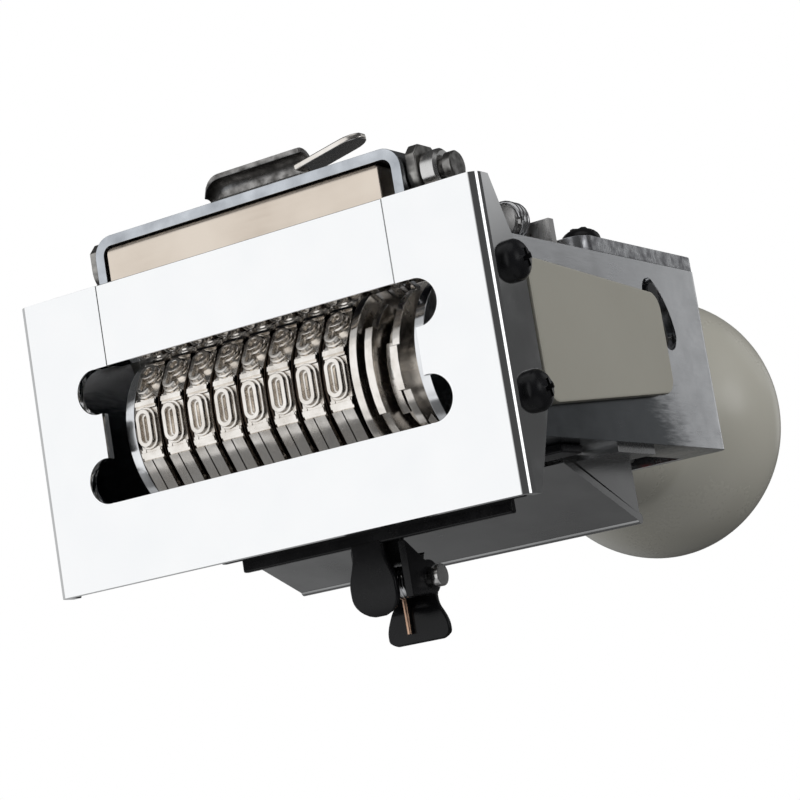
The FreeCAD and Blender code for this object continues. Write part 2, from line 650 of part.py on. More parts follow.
# Handle and plunger
def make_bush():
    barrel = rod("bush_barrel", "z", (0, 0), bridge_low - bush_drop, frame_top, bush_radius)
    flange = rod("bush_collar", "z", (0, 0), frame_top, frame_top + gauge, bush_flange)
    low, high = bridge_low - bush_drop - OVERCUT, frame_top + gauge + OVERCUT
    bore = rod("bush_bore", "z", (0, 0), low, high, rod_radius + running_gap)
    node("plunger_bush", cut("plunger_bush", fuse("bush_body", [barrel, flange]), [bore]))


def make_plunger():
    rod_top = chamber_top + rod_grip
    nut_low = carriage_top - carriage_gauge - nut_height
    main = rod("rod_main", "z", (0, 0), carriage_top, rod_top, rod_radius)
    stud = rod("rod_stud", "z", (0, 0), nut_low - stud_end, carriage_top, stud_radius)
    node("plunger_rod", fuse("plunger_rod", [main, stud]))
    hexagon = prism("nut_hexagon", "z", (0, 0), nut_low, carriage_top - carriage_gauge,
                    nut_radius, NUT_SIDES)
    bore = rod("nut_bore", "z", (0, 0), nut_low - OVERCUT, carriage_top, stud_radius)
    node("plunger_nut", cut("plunger_nut", hexagon, [bore]))

    belly_low = knob_level - knob_belly
    crown = doc.addObject("Part::Ellipsoid", "knob_crown_half")
    belly = doc.addObject("Part::Ellipsoid", "knob_belly_half")
    for half, depth, first, last in ((crown, knob_crown, 0, 90), (belly, knob_belly, -90, 0)):
        bind(half, "Radius1", depth)
        bind(half, "Radius2", knob_radius)
        half.Angle1, half.Angle2 = first, last
        place(half, 0, 0, knob_level)
    neck = cone("knob_neck", (0, 0), neck_low, belly_low + neck_sink, neck_foot, neck_head)
    chamber = rod("knob_chamber", "z", (0, 0), neck_low - OVERCUT, chamber_top, chamber_radius)
    socket = rod("knob_socket", "z", (0, 0), chamber_top - OVERCUT, rod_top, rod_radius)
    node("handle_knob", cut("handle_knob", fuse("knob_body", [crown, belly, neck]), [chamber, socket]))

    first_coil = frame_top + gauge + coil_wire
    coil_step = (chamber_top - coil_wire - first_coil) / (SPRING_TURNS - 1)
    coils = []
    for number in range(SPRING_TURNS):
        coil = doc.addObject("Part::Torus", f"spring_turn_{number}")
        bind(coil, "Radius1", coil_radius)
        bind(coil, "Radius2", coil_wire)
        place(coil, 0, 0, first_coil + coil_step * number)
        coils.append(coil)
    node("return_spring", group("return_spring", coils))


# Carriage
def make_carriage():
    disc = rod("carriage_disc", "x", (0, shaft_level), carriage_in, carriage_half, carriage_radius)
    neck = block("carriage_neck", (carriage_in, -neck_front, shaft_level),
                 (carriage_half, neck_rear, carriage_top))
    bridge = block("carriage_bridge", (-carriage_half, -neck_front, carriage_top - carriage_gauge),
                   (carriage_half, neck_rear, carriage_top))
    past = carriage_half + OVERCUT
    side = fuse("carriage_side", [disc, neck])
    shell = fuse("carriage_shell", [side, mirror("carriage_side_left", side), bridge])
    tools = [
        rod("shaft_hole", "x", (0, shaft_level), -past, past, shaft_radius),
        rod("pivot_hole", "x", (-pad_pivot_y, pad_pivot_z), -past, past, pivot_radius),
        rod("stud_hole", "z", (0, 0), carriage_top - carriage_gauge - OVERCUT, carriage_top + OVERCUT,
            stud_radius),
    ]
    node("carriage_frame", cut("carriage_frame", shell, tools))

    shaft_end = arm_in - side_play
    node("wheel_shaft", rod("wheel_shaft_rod", "x", (0, shaft_level), -shaft_end, shaft_end, shaft_radius))
    clip = ring("shaft_clip", "x", (0, shaft_level), carriage_half,
                shaft_end - shaft_clip_play, shaft_clip_radius, shaft_radius)
    node("shaft_clips", group("shaft_clips", [clip, mirror("shaft_clip_left", clip)]))

    across, head_out = (-pad_pivot_y, pad_pivot_z), arm_out + side_play
    pin = rod("pivot_pin_shank", "x", across, carriage_in, head_out, pivot_radius)
    head = rod("pivot_pin_head", "x", across, head_out, head_out + pivot_head_height, pivot_head)
    pivot = fuse("pivot_pin", [pin, head])
    node("pad_pivot_pins", group("pad_pivot_pins", [pivot, mirror("pivot_pin_left", pivot)]))

    bar = block("detent_rail", (-carriage_in, neck_rear - rail_depth, rail_low),
                (carriage_in, neck_rear, rail_high))
    node("detent_bar", bar)
    blades = []
    for number in range(wheel_count):
        middle = wheel_pitch * number - wheel_first
        low = (middle - blade_half, neck_rear, blade_low)
        high = (middle + blade_half, neck_rear + blade_gauge, rail_high)
        blades.append(block(f"detent_blade_{number}", low, high))
    node("detent_springs", group("detent_springs", blades))


def make_wheel(number):
    """One digit wheel: an eleven-sided digit band, a ratchet rim beside it and a plain bore."""
    left = wheel_pitch * number - wheel_first - wheel_width / 2
    band_start = left + ratchet_width
    band = prism(f"band_{number}", "x", (0, shaft_level), band_start, left + wheel_width, wheel_radius,
                 BAND_SIDES)
    rim = prism(f"rim_{number}", "x", (0, shaft_level), left, band_start, ratchet_radius, RIM_SIDES)
    bore = rod(f"wheel_bore_{number}", "x", (0, shaft_level), left - OVERCUT, left + wheel_width + OVERCUT,
               shaft_radius + wheel_gap)
    wheel = cut(f"wheel_{number}", fuse(f"wheel_body_{number}", [band, rim]), [bore])
    node(f"digit_wheel_{number + 1}", wheel)


def make_discs():
    """The spacers between the wheels, the drive disc and the repeat discs."""
    spacers = []
    for number in range(wheel_count - 1):
        middle = wheel_pitch * (number + 0.5) - wheel_first
        spacers.append(ring(f"spacer_{number}", "x", (0, shaft_level), middle - spacer_width / 2,
                            middle + spacer_width / 2, spacer_radius, shaft_radius))
    node("wheel_spacers", group("wheel_spacers", spacers))
    start = wheel_pitch * (wheel_count - 1) - wheel_first + wheel_width / 2 + disc_gap
    node("drive_disc", ring("drive_disc_ring", "x", (0, shaft_level), start, start + disc_width,
                            disc_radius, shaft_radius))
    discs = []
    for number in range(repeat_count):
        low = start + (disc_width + disc_gap) * (number + 1)
        toothed = prism(f"repeat_{number}", "x", (0, shaft_level), low, low + disc_width, repeat_radius,
                        REPEAT_SIDES)
        bore = rod(f"repeat_bore_{number}", "x", (0, shaft_level), low - OVERCUT,
                   low + disc_width + OVERCUT, shaft_radius)
        discs.append(cut(f"repeat_disc_{number}", toothed, [bore]))
    node("repeat_discs", group("repeat_discs", discs))
    return start + (disc_width + disc_gap) * (repeat_count + 1)


def make_pawls(arm_start):
    """The pawl carrier: an arm on the shaft beside the discs, and a bar across the wheels."""
    arm_end = carriage_in - pawl_play
    spread = Size(math.degrees(pawl_half.value / pawl_inner.value),
                  f"({pawl_half.text} / {pawl_inner.text} * 180 / pi)")
    centre = (0, shaft_level)
    corners = [
        polar(shaft_radius, pawl_angle + pawl_root, centre), polar(pawl_outer, pawl_angle + spread, centre),
        polar(pawl_outer, pawl_angle - spread, centre), polar(shaft_radius, pawl_angle - pawl_root, centre),
    ]
    blade = outline_body("pawl_arm", "YZ_Plane", corners, arm_start, arm_end - arm_start)
    hub = rod("pawl_hub", "x", centre, arm_start, arm_end, shaft_radius + pawl_eye)
    bar = outline_body("pawl_bar", "YZ_Plane", [
        polar(pawl_inner, pawl_angle + spread, centre), polar(pawl_outer, pawl_angle + spread, centre),
        polar(pawl_outer, pawl_angle - spread, centre), polar(pawl_inner, pawl_angle - spread, centre),
    ], -carriage_in + side_play, carriage_in - side_play + arm_end)
    bore = rod("pawl_bore", "x", centre, arm_start - OVERCUT, arm_end + OVERCUT,
               shaft_radius + running_gap)
    node("pawl_carrier", cut("pawl_carrier", fuse("pawl_body", [blade, hub, bar]), [bore]))


# Ink pad
def make_pad():
    pivot, pin = (-pad_pivot_y, pad_pivot_z), (-holder_pin_y, holder_pin_z)
    link = outline_body("arm_link", "YZ_Plane", [
        (-pad_pivot_y, pad_pivot_z - arm_hub), (-pad_pivot_y, pad_pivot_z + arm_hub),
        (-holder_pin_y, holder_pin_z + arm_tip), (-holder_pin_y, holder_pin_z - arm_tip),
    ], arm_in, arm_gauge)
    low, high = holder_pin_z - arm_tip, holder_pin_z + arm_tip
    nose = outline_body("arm_nose", "YZ_Plane", [
        (-holder_pin_y, low), (-holder_pin_y, high), (-arm_front + arm_corner, high),
        (-arm_front, high - arm_corner), (-arm_front, low + arm_corner), (-arm_front + arm_corner, low),
    ], arm_in, arm_gauge)
    pieces = [link, nose, rod("arm_eye", "x", pivot, arm_in, arm_out, arm_hub),
              rod("arm_end", "x", pin, arm_in, arm_out, arm_tip)]
    inner, outer = arm_in - OVERCUT, arm_out + OVERCUT
    holes = [rod("arm_pivot_hole", "x", pivot, inner, outer, pivot_radius + running_gap),
             rod("arm_pin_hole", "x", pin, inner, outer, holder_pin)]
    arm = cut("pad_arm_right", fuse("arm_body", pieces), holes)
    node("pad_arm_right", arm)
    node("pad_arm_left", mirror("pad_arm_left", arm))

    web_back = case_front + case_gap
    web_front = web_back + holder_gauge
    web = block("holder_web", (-holder_half, -web_front, case_low), (holder_half, -web_back, case_high))
    end = block("holder_end", (holder_half - holder_gauge, -web_back, case_low),
                (holder_half, -felt_face - case_lip, case_high))
    shell = fuse("holder_shell", [web, end, mirror("holder_end_left", end)])
    holes = [rod("holder_hole", "x", pin, -holder_half - OVERCUT, holder_half + OVERCUT,
                 holder_pin)]
    node("pad_holder", cut("pad_holder", shell, holes))

    outer = felt_width / 2 + case_wall
    box = block("case_box", (-outer - case_shift, -case_front, case_low),
                (outer - case_shift, case_back, case_high))
    felt_left, felt_right = -felt_width / 2 - case_shift, felt_width / 2 - case_shift
    hollow = block("case_hollow", (felt_left, -case_front + case_wall, case_low + case_wall),
                   (felt_right, case_back + OVERCUT, case_high - case_wall))
    node("pad_case", cut("pad_case", box, [hollow]))
    node("ink_pad", block("ink_felt", (felt_left, -case_front + case_wall, case_low + case_wall),
                          (felt_right, -felt_face, case_high - case_wall)))

    shank = rod("holder_pin_shank", "x", pin, holder_half - holder_gauge, arm_out, holder_pin)
    collar_end = arm_out + collar_width
    collar = rod("holder_pin_collar", "x", pin, arm_out, collar_end, collar_radius)
    head = rod("holder_pin_head", "x", pin, collar_end, collar_end + pin_head_width, pin_head)
    stud = fuse("holder_stud", [shank, collar, head])
    rivet = rod("holder_rivet", "x", pin, -arm_out, -holder_half + holder_gauge, holder_pin)
    node("holder_pins", group("holder_pins", [stud, rivet]))
    return web_front


def make_pad_clip(web_front):
    """The sprung clip that keeps the pad case in its holder: a trough-shaped lever and a thumb tab."""
    back = web_front + case_gap
    middle = (-back - clip_trough, clip_level)
    start, end = -clip_left, clip_right
    tube = ring("clip_tube", "x", middle, start, end, clip_trough, clip_trough - clip_gauge)
    lower = block("clip_lower", (start - OVERCUT, middle[0] - clip_trough - OVERCUT,
                                 clip_level - clip_trough - OVERCUT),
                  (end + OVERCUT, -back + OVERCUT, clip_level))
    hinge_at = (-back - clip_hinge, clip_hinge_level)
    hinge = rod("clip_rib", "x", hinge_at, start, end, clip_hinge)
    trough = cut("clip_half_tube", tube, [lower])
    back_wall = block("clip_back", (start, -back - clip_gauge, clip_hinge_level),
                      (end, -back, clip_level + clip_trough))
    node("pad_clip_lever", fuse("pad_clip_lever", [trough, hinge, back_wall]))
    base = block("tab_base", (end, -back - tab_gauge, tab_low), (tab_end, -back, tab_high))
    rise = block("tab_rise_block", (end + tab_gauge, -back - tab_rise, tab_high - tab_gauge),
                 (tab_end, -back - tab_gauge, tab_high))
    node("pad_clip_tab", fuse("pad_clip_tab", [base, rise]))


def make_pad_springs():
    """A torsion spring on an upright post at each side of the frame, outside the pad arms' path."""
    across = (side_in - spring_inset, -frame_front - spring_ahead)
    coil = ring("pad_spring_coil", "z", across, spring_low, spring_high, spring_outer, spring_inner)
    node("pad_springs", group("pad_springs", [coil, mirror("pad_spring_left", coil)]))
    ear_low = spring_high + side_play
    shank = rod("spring_post_shank", "z", across, spring_low, ear_low, post_radius)
    head = rod("spring_post_head", "z", across, spring_low - post_head_height, spring_low, post_head)
    ear = block("spring_ear", (across[0] - post_radius, across[1] + ear_front, ear_low),
                (side_out, -frame_front, ear_low + gauge))
    post = fuse("spring_post", [shank, head, ear])
    node("spring_posts", group("spring_posts", [post, mirror("spring_post_left", post)]))


# Rear
def make_guard():
    """The guard panel that slopes back from the frame, with a gusset and an ear at each end."""
    low, high = (guard_foot, guard_low), (guard_head, guard_top)
    wall = guard_gauge
    panel = outline_body("guard_panel", "YZ_Plane", [
        (low[0], low[1]), (low[0] + wall, low[1]), (high[0] + wall, high[1]), (high[0], high[1]),
    ], -guard_half, guard_half * 2)
    gusset_front = frame_rear + guard_rest
    gusset = outline_body("guard_gusset", "YZ_Plane", [
        (gusset_front, guard_low + guard_inset), (high[0], high[1]), (gusset_front, guard_top),
    ], guard_half - wall, wall)
    ear = block("guard_ear_block", (guard_half - wall, frame_rear, guard_low + guard_ear),
                (side_out - wall, frame_rear + wall, guard_top - guard_ear))
    hem = rod("guard_hem", "x", (high[0] + wall / 2, high[1]), -guard_half, guard_half, hem_radius)
    pieces = [panel, gusset, mirror("gusset_left", gusset), ear, mirror("ear_left", ear), hem]
    node("rear_guard", fuse("rear_guard", pieces))


def make_latch_bar():
    """A fixed two-layer bar across the rear, with a tongue and two ears for the latch pin."""
    low, mid, high = latch_level, latch_level + latch_gauge, latch_level + latch_gauge * 2
    front = frame_rear + latch_front
    tab_rear = front + latch_grip
    under = block("latch_under", (-under_half, front, low), (under_half, under_rear, mid))
    over = block("latch_over", (-over_half, front, mid), (over_half, over_rear, high))
    tab = block("latch_tab", (under_half, frame_rear, latch_level - tab_drop), (tab_half, tab_rear, high))
    tie = block("latch_tie", (under_half - tie_overlap, front, low),
                (under_half + tie_overlap, tab_rear, high))
    tongue = block("latch_tongue", (-tongue_half, over_rear - tongue_root, mid),
                   (tongue_half, tongue_end, high))
    ear = block("latch_ear", (tongue_half - latch_gauge, latch_pin_y - ear_half, mid),
                (tongue_half, latch_pin_y + ear_half, latch_pin_z + ear_half))
    pieces = [under, over, tab, tie, tongue, ear]
    pieces += [mirror("latch_tab_left", tab), mirror("latch_tie_left", tie), mirror("latch_ear_left", ear)]
    past = tongue_half + OVERCUT
    hole = rod("latch_hole", "x", (latch_pin_y, latch_pin_z), -past, past, latch_pin)
    node("latch_bar", cut("latch_bar", fuse("latch_body", pieces), [hole]))


def make_latch():
    """The finger latch that turns on a pin between the ears, and its spring."""
    pin_at = (latch_pin_y, latch_pin_z)
    ear_out = tongue_half + latch_grip
    shank = rod("latch_pin_shank", "x", pin_at, -ear_out, ear_out, latch_pin)
    head = rod("latch_pin_head", "x", pin_at, ear_out, ear_out + latch_head_width, latch_head)
    tail = rod("latch_pin_tail", "x", pin_at, -ear_out - latch_tail_width, -ear_out, latch_tail)
    node("latch_pin", fuse("latch_pin_body", [shank, head, tail]))
    node("latch_spring", ring("latch_spring_coil", "x", pin_at, -latch_coil_half, latch_coil_half,
                              latch_coil, latch_pin + running_gap * 2))

    y, z = pin_at
    bar_top = latch_level + latch_gauge * 2
    hook_low = bar_top + hook_gap
    strap_top = z + strap_low + strap_gauge
    pieces = []
    for number, (start, end) in enumerate(((-cheek_out, -cheek_in), (cheek_in, cheek_out))):
        pieces.append(rod(f"latch_hub_{number}", "x", pin_at, start, end, latch_coil))
        pieces.append(block(f"latch_cheek_{number}", (start, y - cheek_half, z),
                            (end, y + cheek_half, strap_top)))
        pieces.append(block(f"latch_link_{number}", (start, y - link_front, z - link_low),
                            (end, y, z + latch_pin)))
    pieces.append(block("latch_strap", (-cheek_out, y - strap_front, z + strap_low),
                        (cheek_out, y + finger_start + strap_gauge, strap_top)))
    pieces.append(block("latch_riser", (-cheek_out, y + finger_start, z + finger_low),
                        (cheek_out, y + finger_start + strap_gauge, strap_top)))
    pieces.append(block("latch_finger", (-finger_half, y + finger_start, z + finger_low),
                        (finger_half, y + finger_end, z + finger_low + finger_gauge)))
    pieces.append(block("latch_drop", (-cheek_out, y - link_front, hook_low),
                        (cheek_out, y - link_front + strap_gauge, z + latch_pin)))
    pieces.append(block("latch_hook", (-cheek_out, y - hook_end, hook_low),
                        (cheek_out, y - link_front + strap_gauge, hook_low + strap_gauge)))
    past = cheek_out + OVERCUT
    bore = rod("latch_bore", "x", pin_at, -past, past, latch_pin + running_gap)
    node("latch_lever", cut("latch_lever", fuse("latch_lever_body", pieces), [bore]))


# Inside the frame
def make_dial():
    """The selector dial on a spindle, behind the detent springs."""
    back = neck_rear + blade_gauge + bracket_gap
    front = back + bracket_gauge
    bracket = block("dial_plate", (dial_x - bracket_half, back, dial_z - bracket_half),
                    (dial_x + bracket_half, front, bridge_low))
    spindle = rod("dial_spindle", "y", (dial_x, dial_z), front, front + spindle_length, spindle_radius)
    node("dial_bracket", fuse("dial_bracket", [bracket, spindle]))
    node("selector_dial", ring("dial_ring", "y", (dial_x, dial_z), front + dial_gap,
                               front + dial_gap + dial_width, dial_radius, spindle_radius + running_gap))


def make_drive_lever():
    """The lever inside the right wall, whose stud runs in the curved slot."""
    pivot = (-lever_y, lever_z)
    stud_at = polar(lever_reach, lever_angle, pivot)
    outer = side_in - lever_play
    inner = outer - lever_gauge
    head_end = inner - side_play
    pin = rod("lever_pin_shank", "x", pivot, head_end, side_out, pivot_radius)
    head = rod("lever_pin_head", "x", pivot, head_end - pivot_head_height, head_end, pivot_head)
    node("lever_pin", fuse("lever_pin", [pin, head]))
    half = lever_half
    link = outline_body("lever_link", "YZ_Plane", [
        polar(half, lever_angle + 90, pivot), polar(half, lever_angle - 90, pivot),
        polar(half, lever_angle - 90, stud_at), polar(half, lever_angle + 90, stud_at),
    ], inner, lever_gauge)
    eye = rod("lever_eye_rod", "x", pivot, inner, outer, lever_eye)
    tip = rod("lever_tip", "x", stud_at, inner, outer, half)
    stud = rod("lever_stud_rod", "x", stud_at, outer, side_out + lever_stud_end, lever_stud)
    bore = rod("lever_bore", "x", pivot, inner - OVERCUT, outer + OVERCUT, pivot_radius + running_gap)
    node("drive_lever", cut("drive_lever", fuse("lever_body", [link, eye, tip, stud]), [bore]))


def export_nodes():
    """Checks every object, then writes each sub-part to its own file."""
    doc.recompute()
    for obj in doc.Objects:
        if "Invalid" in obj.State or "Error" in obj.State:
            raise RuntimeError(f"{obj.Name} is {obj.State}")
    os.makedirs("parts", exist_ok=True)
    for piece in NODES:
        shape = piece.Shape
        if shape.isNull() or not shape.isValid() or not shape.Solids:
            raise RuntimeError(f"{piece.Label} has no valid solid")
        shape.exportStep(f"parts/{piece.Label}.step")
        print(f"{piece.Label}: {len(shape.Solids)} solid(s), {shape.Volume:.1f} mm3")


make_foot()
make_frame()
make_front_plate()
make_side_covers()
make_bush()
make_plunger()
make_carriage()
for wheel_number in range(wheel_count):
    make_wheel(wheel_number)
make_pawls(make_discs())
make_pad_clip(make_pad())
make_pad_springs()
make_guard()
make_latch_bar()
make_latch()
make_dial()
make_drive_lever()
export_nodes()
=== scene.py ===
"""Looks of the hand numbering machine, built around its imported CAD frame.

Metres, in the frame's own axes: +Z up to the knob, -Y towards the ink pad, +X to the right.
"""
import logging
import math
from dataclasses import dataclass, field
from enum import Enum
from functools import reduce
from typing import Callable, Iterable, Sequence

import bmesh
import bpy
from mathutils import Matrix, Vector


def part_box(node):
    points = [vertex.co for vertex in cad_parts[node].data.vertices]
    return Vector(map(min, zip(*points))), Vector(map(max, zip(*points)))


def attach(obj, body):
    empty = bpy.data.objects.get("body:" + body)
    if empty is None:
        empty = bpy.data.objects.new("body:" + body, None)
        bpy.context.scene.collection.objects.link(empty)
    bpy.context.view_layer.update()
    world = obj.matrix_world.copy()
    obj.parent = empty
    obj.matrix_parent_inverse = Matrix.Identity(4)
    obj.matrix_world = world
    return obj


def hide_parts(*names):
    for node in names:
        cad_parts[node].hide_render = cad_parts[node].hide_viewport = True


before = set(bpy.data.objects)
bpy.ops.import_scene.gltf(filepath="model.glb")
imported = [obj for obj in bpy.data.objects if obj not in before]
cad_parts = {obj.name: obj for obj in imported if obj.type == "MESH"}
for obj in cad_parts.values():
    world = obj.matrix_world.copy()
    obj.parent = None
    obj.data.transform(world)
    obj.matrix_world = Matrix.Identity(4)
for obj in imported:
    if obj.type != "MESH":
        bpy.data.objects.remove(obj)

LOG = logging.getLogger("numbering_machine")
MM = 0.001
Point = tuple[float, float, float]
Flat = tuple[float, float]
Lift = Callable[[float, float, float], Point]
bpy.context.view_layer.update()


class Slot(Enum):
    """The record's material slots."""

    SHEET = "bright_sheet"
    NICKEL = "nickel"
    CASE = "nickel_case"
    BLACK = "black_oxide"
    STEEL = "bright_steel"
    SPRING = "spring_steel"
    DARK = "dark_steel"
    BRONZE = "bronze"
    PLASTIC = "beige_plastic"
    DIAL = "black_plastic"
    FELT = "felt"


# Node trees and finishes
class Graph:
    """A node tree of any kind, with short ways to add nodes and to feed their inputs."""

    def __init__(self, tree: bpy.types.NodeTree) -> None:
        """Keeps the tree."""
        self.tree = tree

    def feed(self, socket: bpy.types.NodeSocket, value: object) -> None:
        """Links a socket to an output, or sets its value.

        Args:
            socket: The input.
            value: An output, or the value itself.
        """
        if isinstance(value, bpy.types.NodeSocket):
            self.tree.links.new(value, socket)
        else:
            socket.default_value = value

    def node(self, kind: str, **links: object) -> bpy.types.Node:
        """Adds a node.

        Args:
            kind: Its type.
            **links: What each input gets, by the input's name with "_" for a space.

        Returns:
            The new node.
        """
        made = self.tree.nodes.new(kind)
        for label, value in links.items():
            self.feed(made.inputs[label.replace("_", " ")], value)
        return made

    def maths(self, operation: str, *given: object) -> bpy.types.NodeSocket:
        """Adds a scalar operation.

        Args:
            operation: Its name.
            *given: The outputs or numbers that it works on.

        Returns:
            The result.
        """
        made = self.tree.nodes.new("ShaderNodeMath")
        made.operation = operation
        for socket, value in zip(made.inputs, given):
            self.feed(socket, value)
        return made.outputs[0]

    def vectors(self, operation: str, first: object, second: object) -> bpy.types.NodeSocket:
        """Adds a vector operation.

        Args:
            operation: Its name.
            first: The first vector.
            second: The second vector, or the number that scales the first.

        Returns:
            The result.
        """
        made = self.tree.nodes.new("ShaderNodeVectorMath")
        made.operation = operation
        self.feed(made.inputs[0], first)
        self.feed(made.inputs["Scale" if operation == "SCALE" else 1], second)
        return made.outputs["Value" if operation == "DOT_PRODUCT" else "Vector"]

    def mix(self, share: object, first: object, second: object) -> bpy.types.NodeSocket:
        """Mixes two colours.

        Args:
            share: 0 for the first colour and 1 for the second.
            first: The first colour, with its alpha.
            second: The second colour.

        Returns:
            The mixed colour.
        """
        made = self.tree.nodes.new("ShaderNodeMix")
        made.data_type = "RGBA"
        for index, value in ((0, share), (6, first), (7, second)):
            self.feed(made.inputs[index], value)
        return made.outputs[2]

    def ease(self, value: object, start: float, end: float, high: float = 1.0) -> bpy.types.NodeSocket:
        """Adds a smooth rise from 0.

        Args:
            value: What it follows.
            start: The value up to which it is 0.
            end: The value from which it is full.
            high: How high it rises.

        Returns:
            The result.
        """
        made = self.node("ShaderNodeMapRange", Value=value, From_Min=start, From_Max=end, To_Max=high)
        made.interpolation_type = "SMOOTHSTEP"
        return made.outputs["Result"]

    def greatest(self, given: Sequence[bpy.types.NodeSocket]) -> bpy.types.NodeSocket:
        """The greatest of several outputs."""
        return reduce(lambda first, second: self.maths("MAXIMUM", first, second), given)


@dataclass(frozen=True)
class Finish:
    """One procedural finish: a principled surface with grain in its colour, roughness and relief, and, where
    fades are given, a painted shade that darkens part of it by place.

    Args:
        name: Name of the material.
        colour: Base colour, linear.
        second: The colour that the mottling leads to.
        metallic: 0 for plastic and felt, 1 for metal.
        rough: Lowest and highest roughness.
        grain: Noise scale per metre along each axis, so unequal values give a brushed grain.
        relief: Depth of the relief in metres.
        coat: Weight of the clear coat.
        specular: Specular level.
        sheen: Sheen weight.
        blotch: Noise scale of the large, soft mottling.
        painted_shade_fades: Directions with the distances, in metres, between which the surface leaves its
            painted shade.
        painted_shade: The colour of the painted shade, where no fade reaches.
    """

    name: str
    colour: Point
    second: Point
    metallic: float = 1.0
    rough: Flat = (0.1, 0.25)
    grain: Point = (900.0, 900.0, 900.0)
    relief: float = 0.000004
    coat: float = 0.0
    specular: float = 0.5
    sheen: float = 0.0
    blotch: float = 120.0
    painted_shade_fades: tuple[tuple[Point, float, float], ...] = ()
    painted_shade: Point = (0.05, 0.055, 0.06)

    def painted_shade_fade(self, graph: Graph, place: bpy.types.NodeSocket, fine: bpy.types.NodeSocket, direction: Point,
             start: float, end: float) -> bpy.types.NodeSocket:
        """How far the surface has left its painted shade along one direction, with a ragged border.

        Args:
            graph: The material's nodes.
            place: Where a point of the surface lies.
            fine: The fine grain.
            direction: The direction.
            start: Distance along it where the painted shade begins to go, metres.
            end: Distance where it has gone.

        Returns:
            0 in the painted shade and 1 out of it.
        """
        ragged, shift = (end - start) * 0.9, (end - start) * 0.45
        along = graph.vectors("DOT_PRODUCT", place, direction)
        return graph.ease(graph.maths("MULTIPLY_ADD", fine, ragged, along), start + shift, end + shift)

    def build(self) -> bpy.types.Material:
        """Builds the material the first time.

        Returns:
            The material.
        """
        known = bpy.data.materials.get(self.name)
        if known:
            return known
        material = bpy.data.materials.new(self.name)
        material.use_nodes = True
        graph = Graph(material.node_tree)
        place = graph.node("ShaderNodeTexCoord").outputs["Object"]
        grain = graph.node("ShaderNodeMapping", Vector=place, Scale=self.grain).outputs["Vector"]
        fine = graph.node("ShaderNodeTexNoise", Vector=grain, Scale=1.0, Detail=4.0).outputs["Fac"]
        soft = graph.node("ShaderNodeTexNoise", Vector=place, Scale=self.blotch, Detail=3.0).outputs["Fac"]
        mottle = graph.node("ShaderNodeMapRange", Value=soft, From_Min=0.35, From_Max=0.7).outputs["Result"]
        colour = graph.mix(mottle, (*self.colour, 1.0), (*self.second, 1.0))
        # Painted shade: where no fade reaches, the colour is mixed towards the painted shade colour.
        if self.painted_shade_fades:
            reach = graph.greatest([self.painted_shade_fade(graph, place, fine, *painted_shade_fade) for painted_shade_fade in self.painted_shade_fades])
            colour = graph.mix(reach, (*self.painted_shade, 1.0), colour)
        rough = graph.node("ShaderNodeMapRange", Value=graph.maths("MULTIPLY", fine, mottle), From_Max=0.6,
                           To_Min=self.rough[0], To_Max=self.rough[1]).outputs["Result"]
        bump = graph.node("ShaderNodeBump", Strength=1.0, Distance=self.relief, Height=fine).outputs["Normal"]
        for label, value in (("Base Color", colour), ("Roughness", rough), ("Normal", bump),
                             ("Metallic", self.metallic), ("Coat Weight", self.coat),
                             ("Specular IOR Level", self.specular), ("Sheen Weight", self.sheen)):
            graph.feed(material.node_tree.nodes["Principled BSDF"].inputs[label], value)
        return material


POLISHED = Finish("polished_chrome", (0.985, 0.985, 0.985), (0.96, 0.965, 0.97), rough=(0.05, 0.14),
                  grain=(90.0, 700.0, 700.0), relief=0.0000004)
MILLED = Finish("zinc_sheet", (0.86, 0.87, 0.88), (0.7, 0.71, 0.73), rough=(0.14, 0.26),
                grain=(900.0, 2600.0, 500.0), relief=0.0000035, blotch=260.0)
# The frame's sides: brushed zinc with a painted shade, darker towards their bottom and rear.
SIDE = Finish("brushed_zinc_painted_shade", (0.97, 0.98, 1.0), (0.85, 0.86, 0.88), rough=(0.16, 0.28),
              grain=(3000.0, 3000.0, 420.0), relief=0.000004, blotch=200.0,
              painted_shade_fades=(((0.0, -0.55, 0.83), 0.0265, 0.036), ((0.0, -1.0, 0.0), 0.0045, 0.0085)),
              painted_shade=(0.13, 0.14, 0.15))
EDGE = Finish("sheared_edge", (0.75, 0.76, 0.78), (0.3, 0.3, 0.32), rough=(0.2, 0.5),
              grain=(300.0, 300.0, 4200.0), relief=0.00002, blotch=900.0)
GUARD = Finish("guard_sheet", (0.52, 0.52, 0.52), (0.4, 0.4, 0.4), rough=(0.18, 0.3),
               grain=(260.0, 2000.0, 2000.0), relief=0.000001)
NICKEL = Finish("satin_nickel", (0.93, 0.89, 0.84), (0.76, 0.71, 0.65), rough=(0.14, 0.34),
                grain=(1500.0, 1500.0, 1500.0), relief=0.000006, blotch=420.0)
HOLDER = Finish("drawn_sheet", (0.6, 0.63, 0.67), (0.38, 0.4, 0.43), rough=(0.12, 0.3),
                grain=(90.0, 2600.0, 2600.0), relief=0.000004, blotch=300.0)
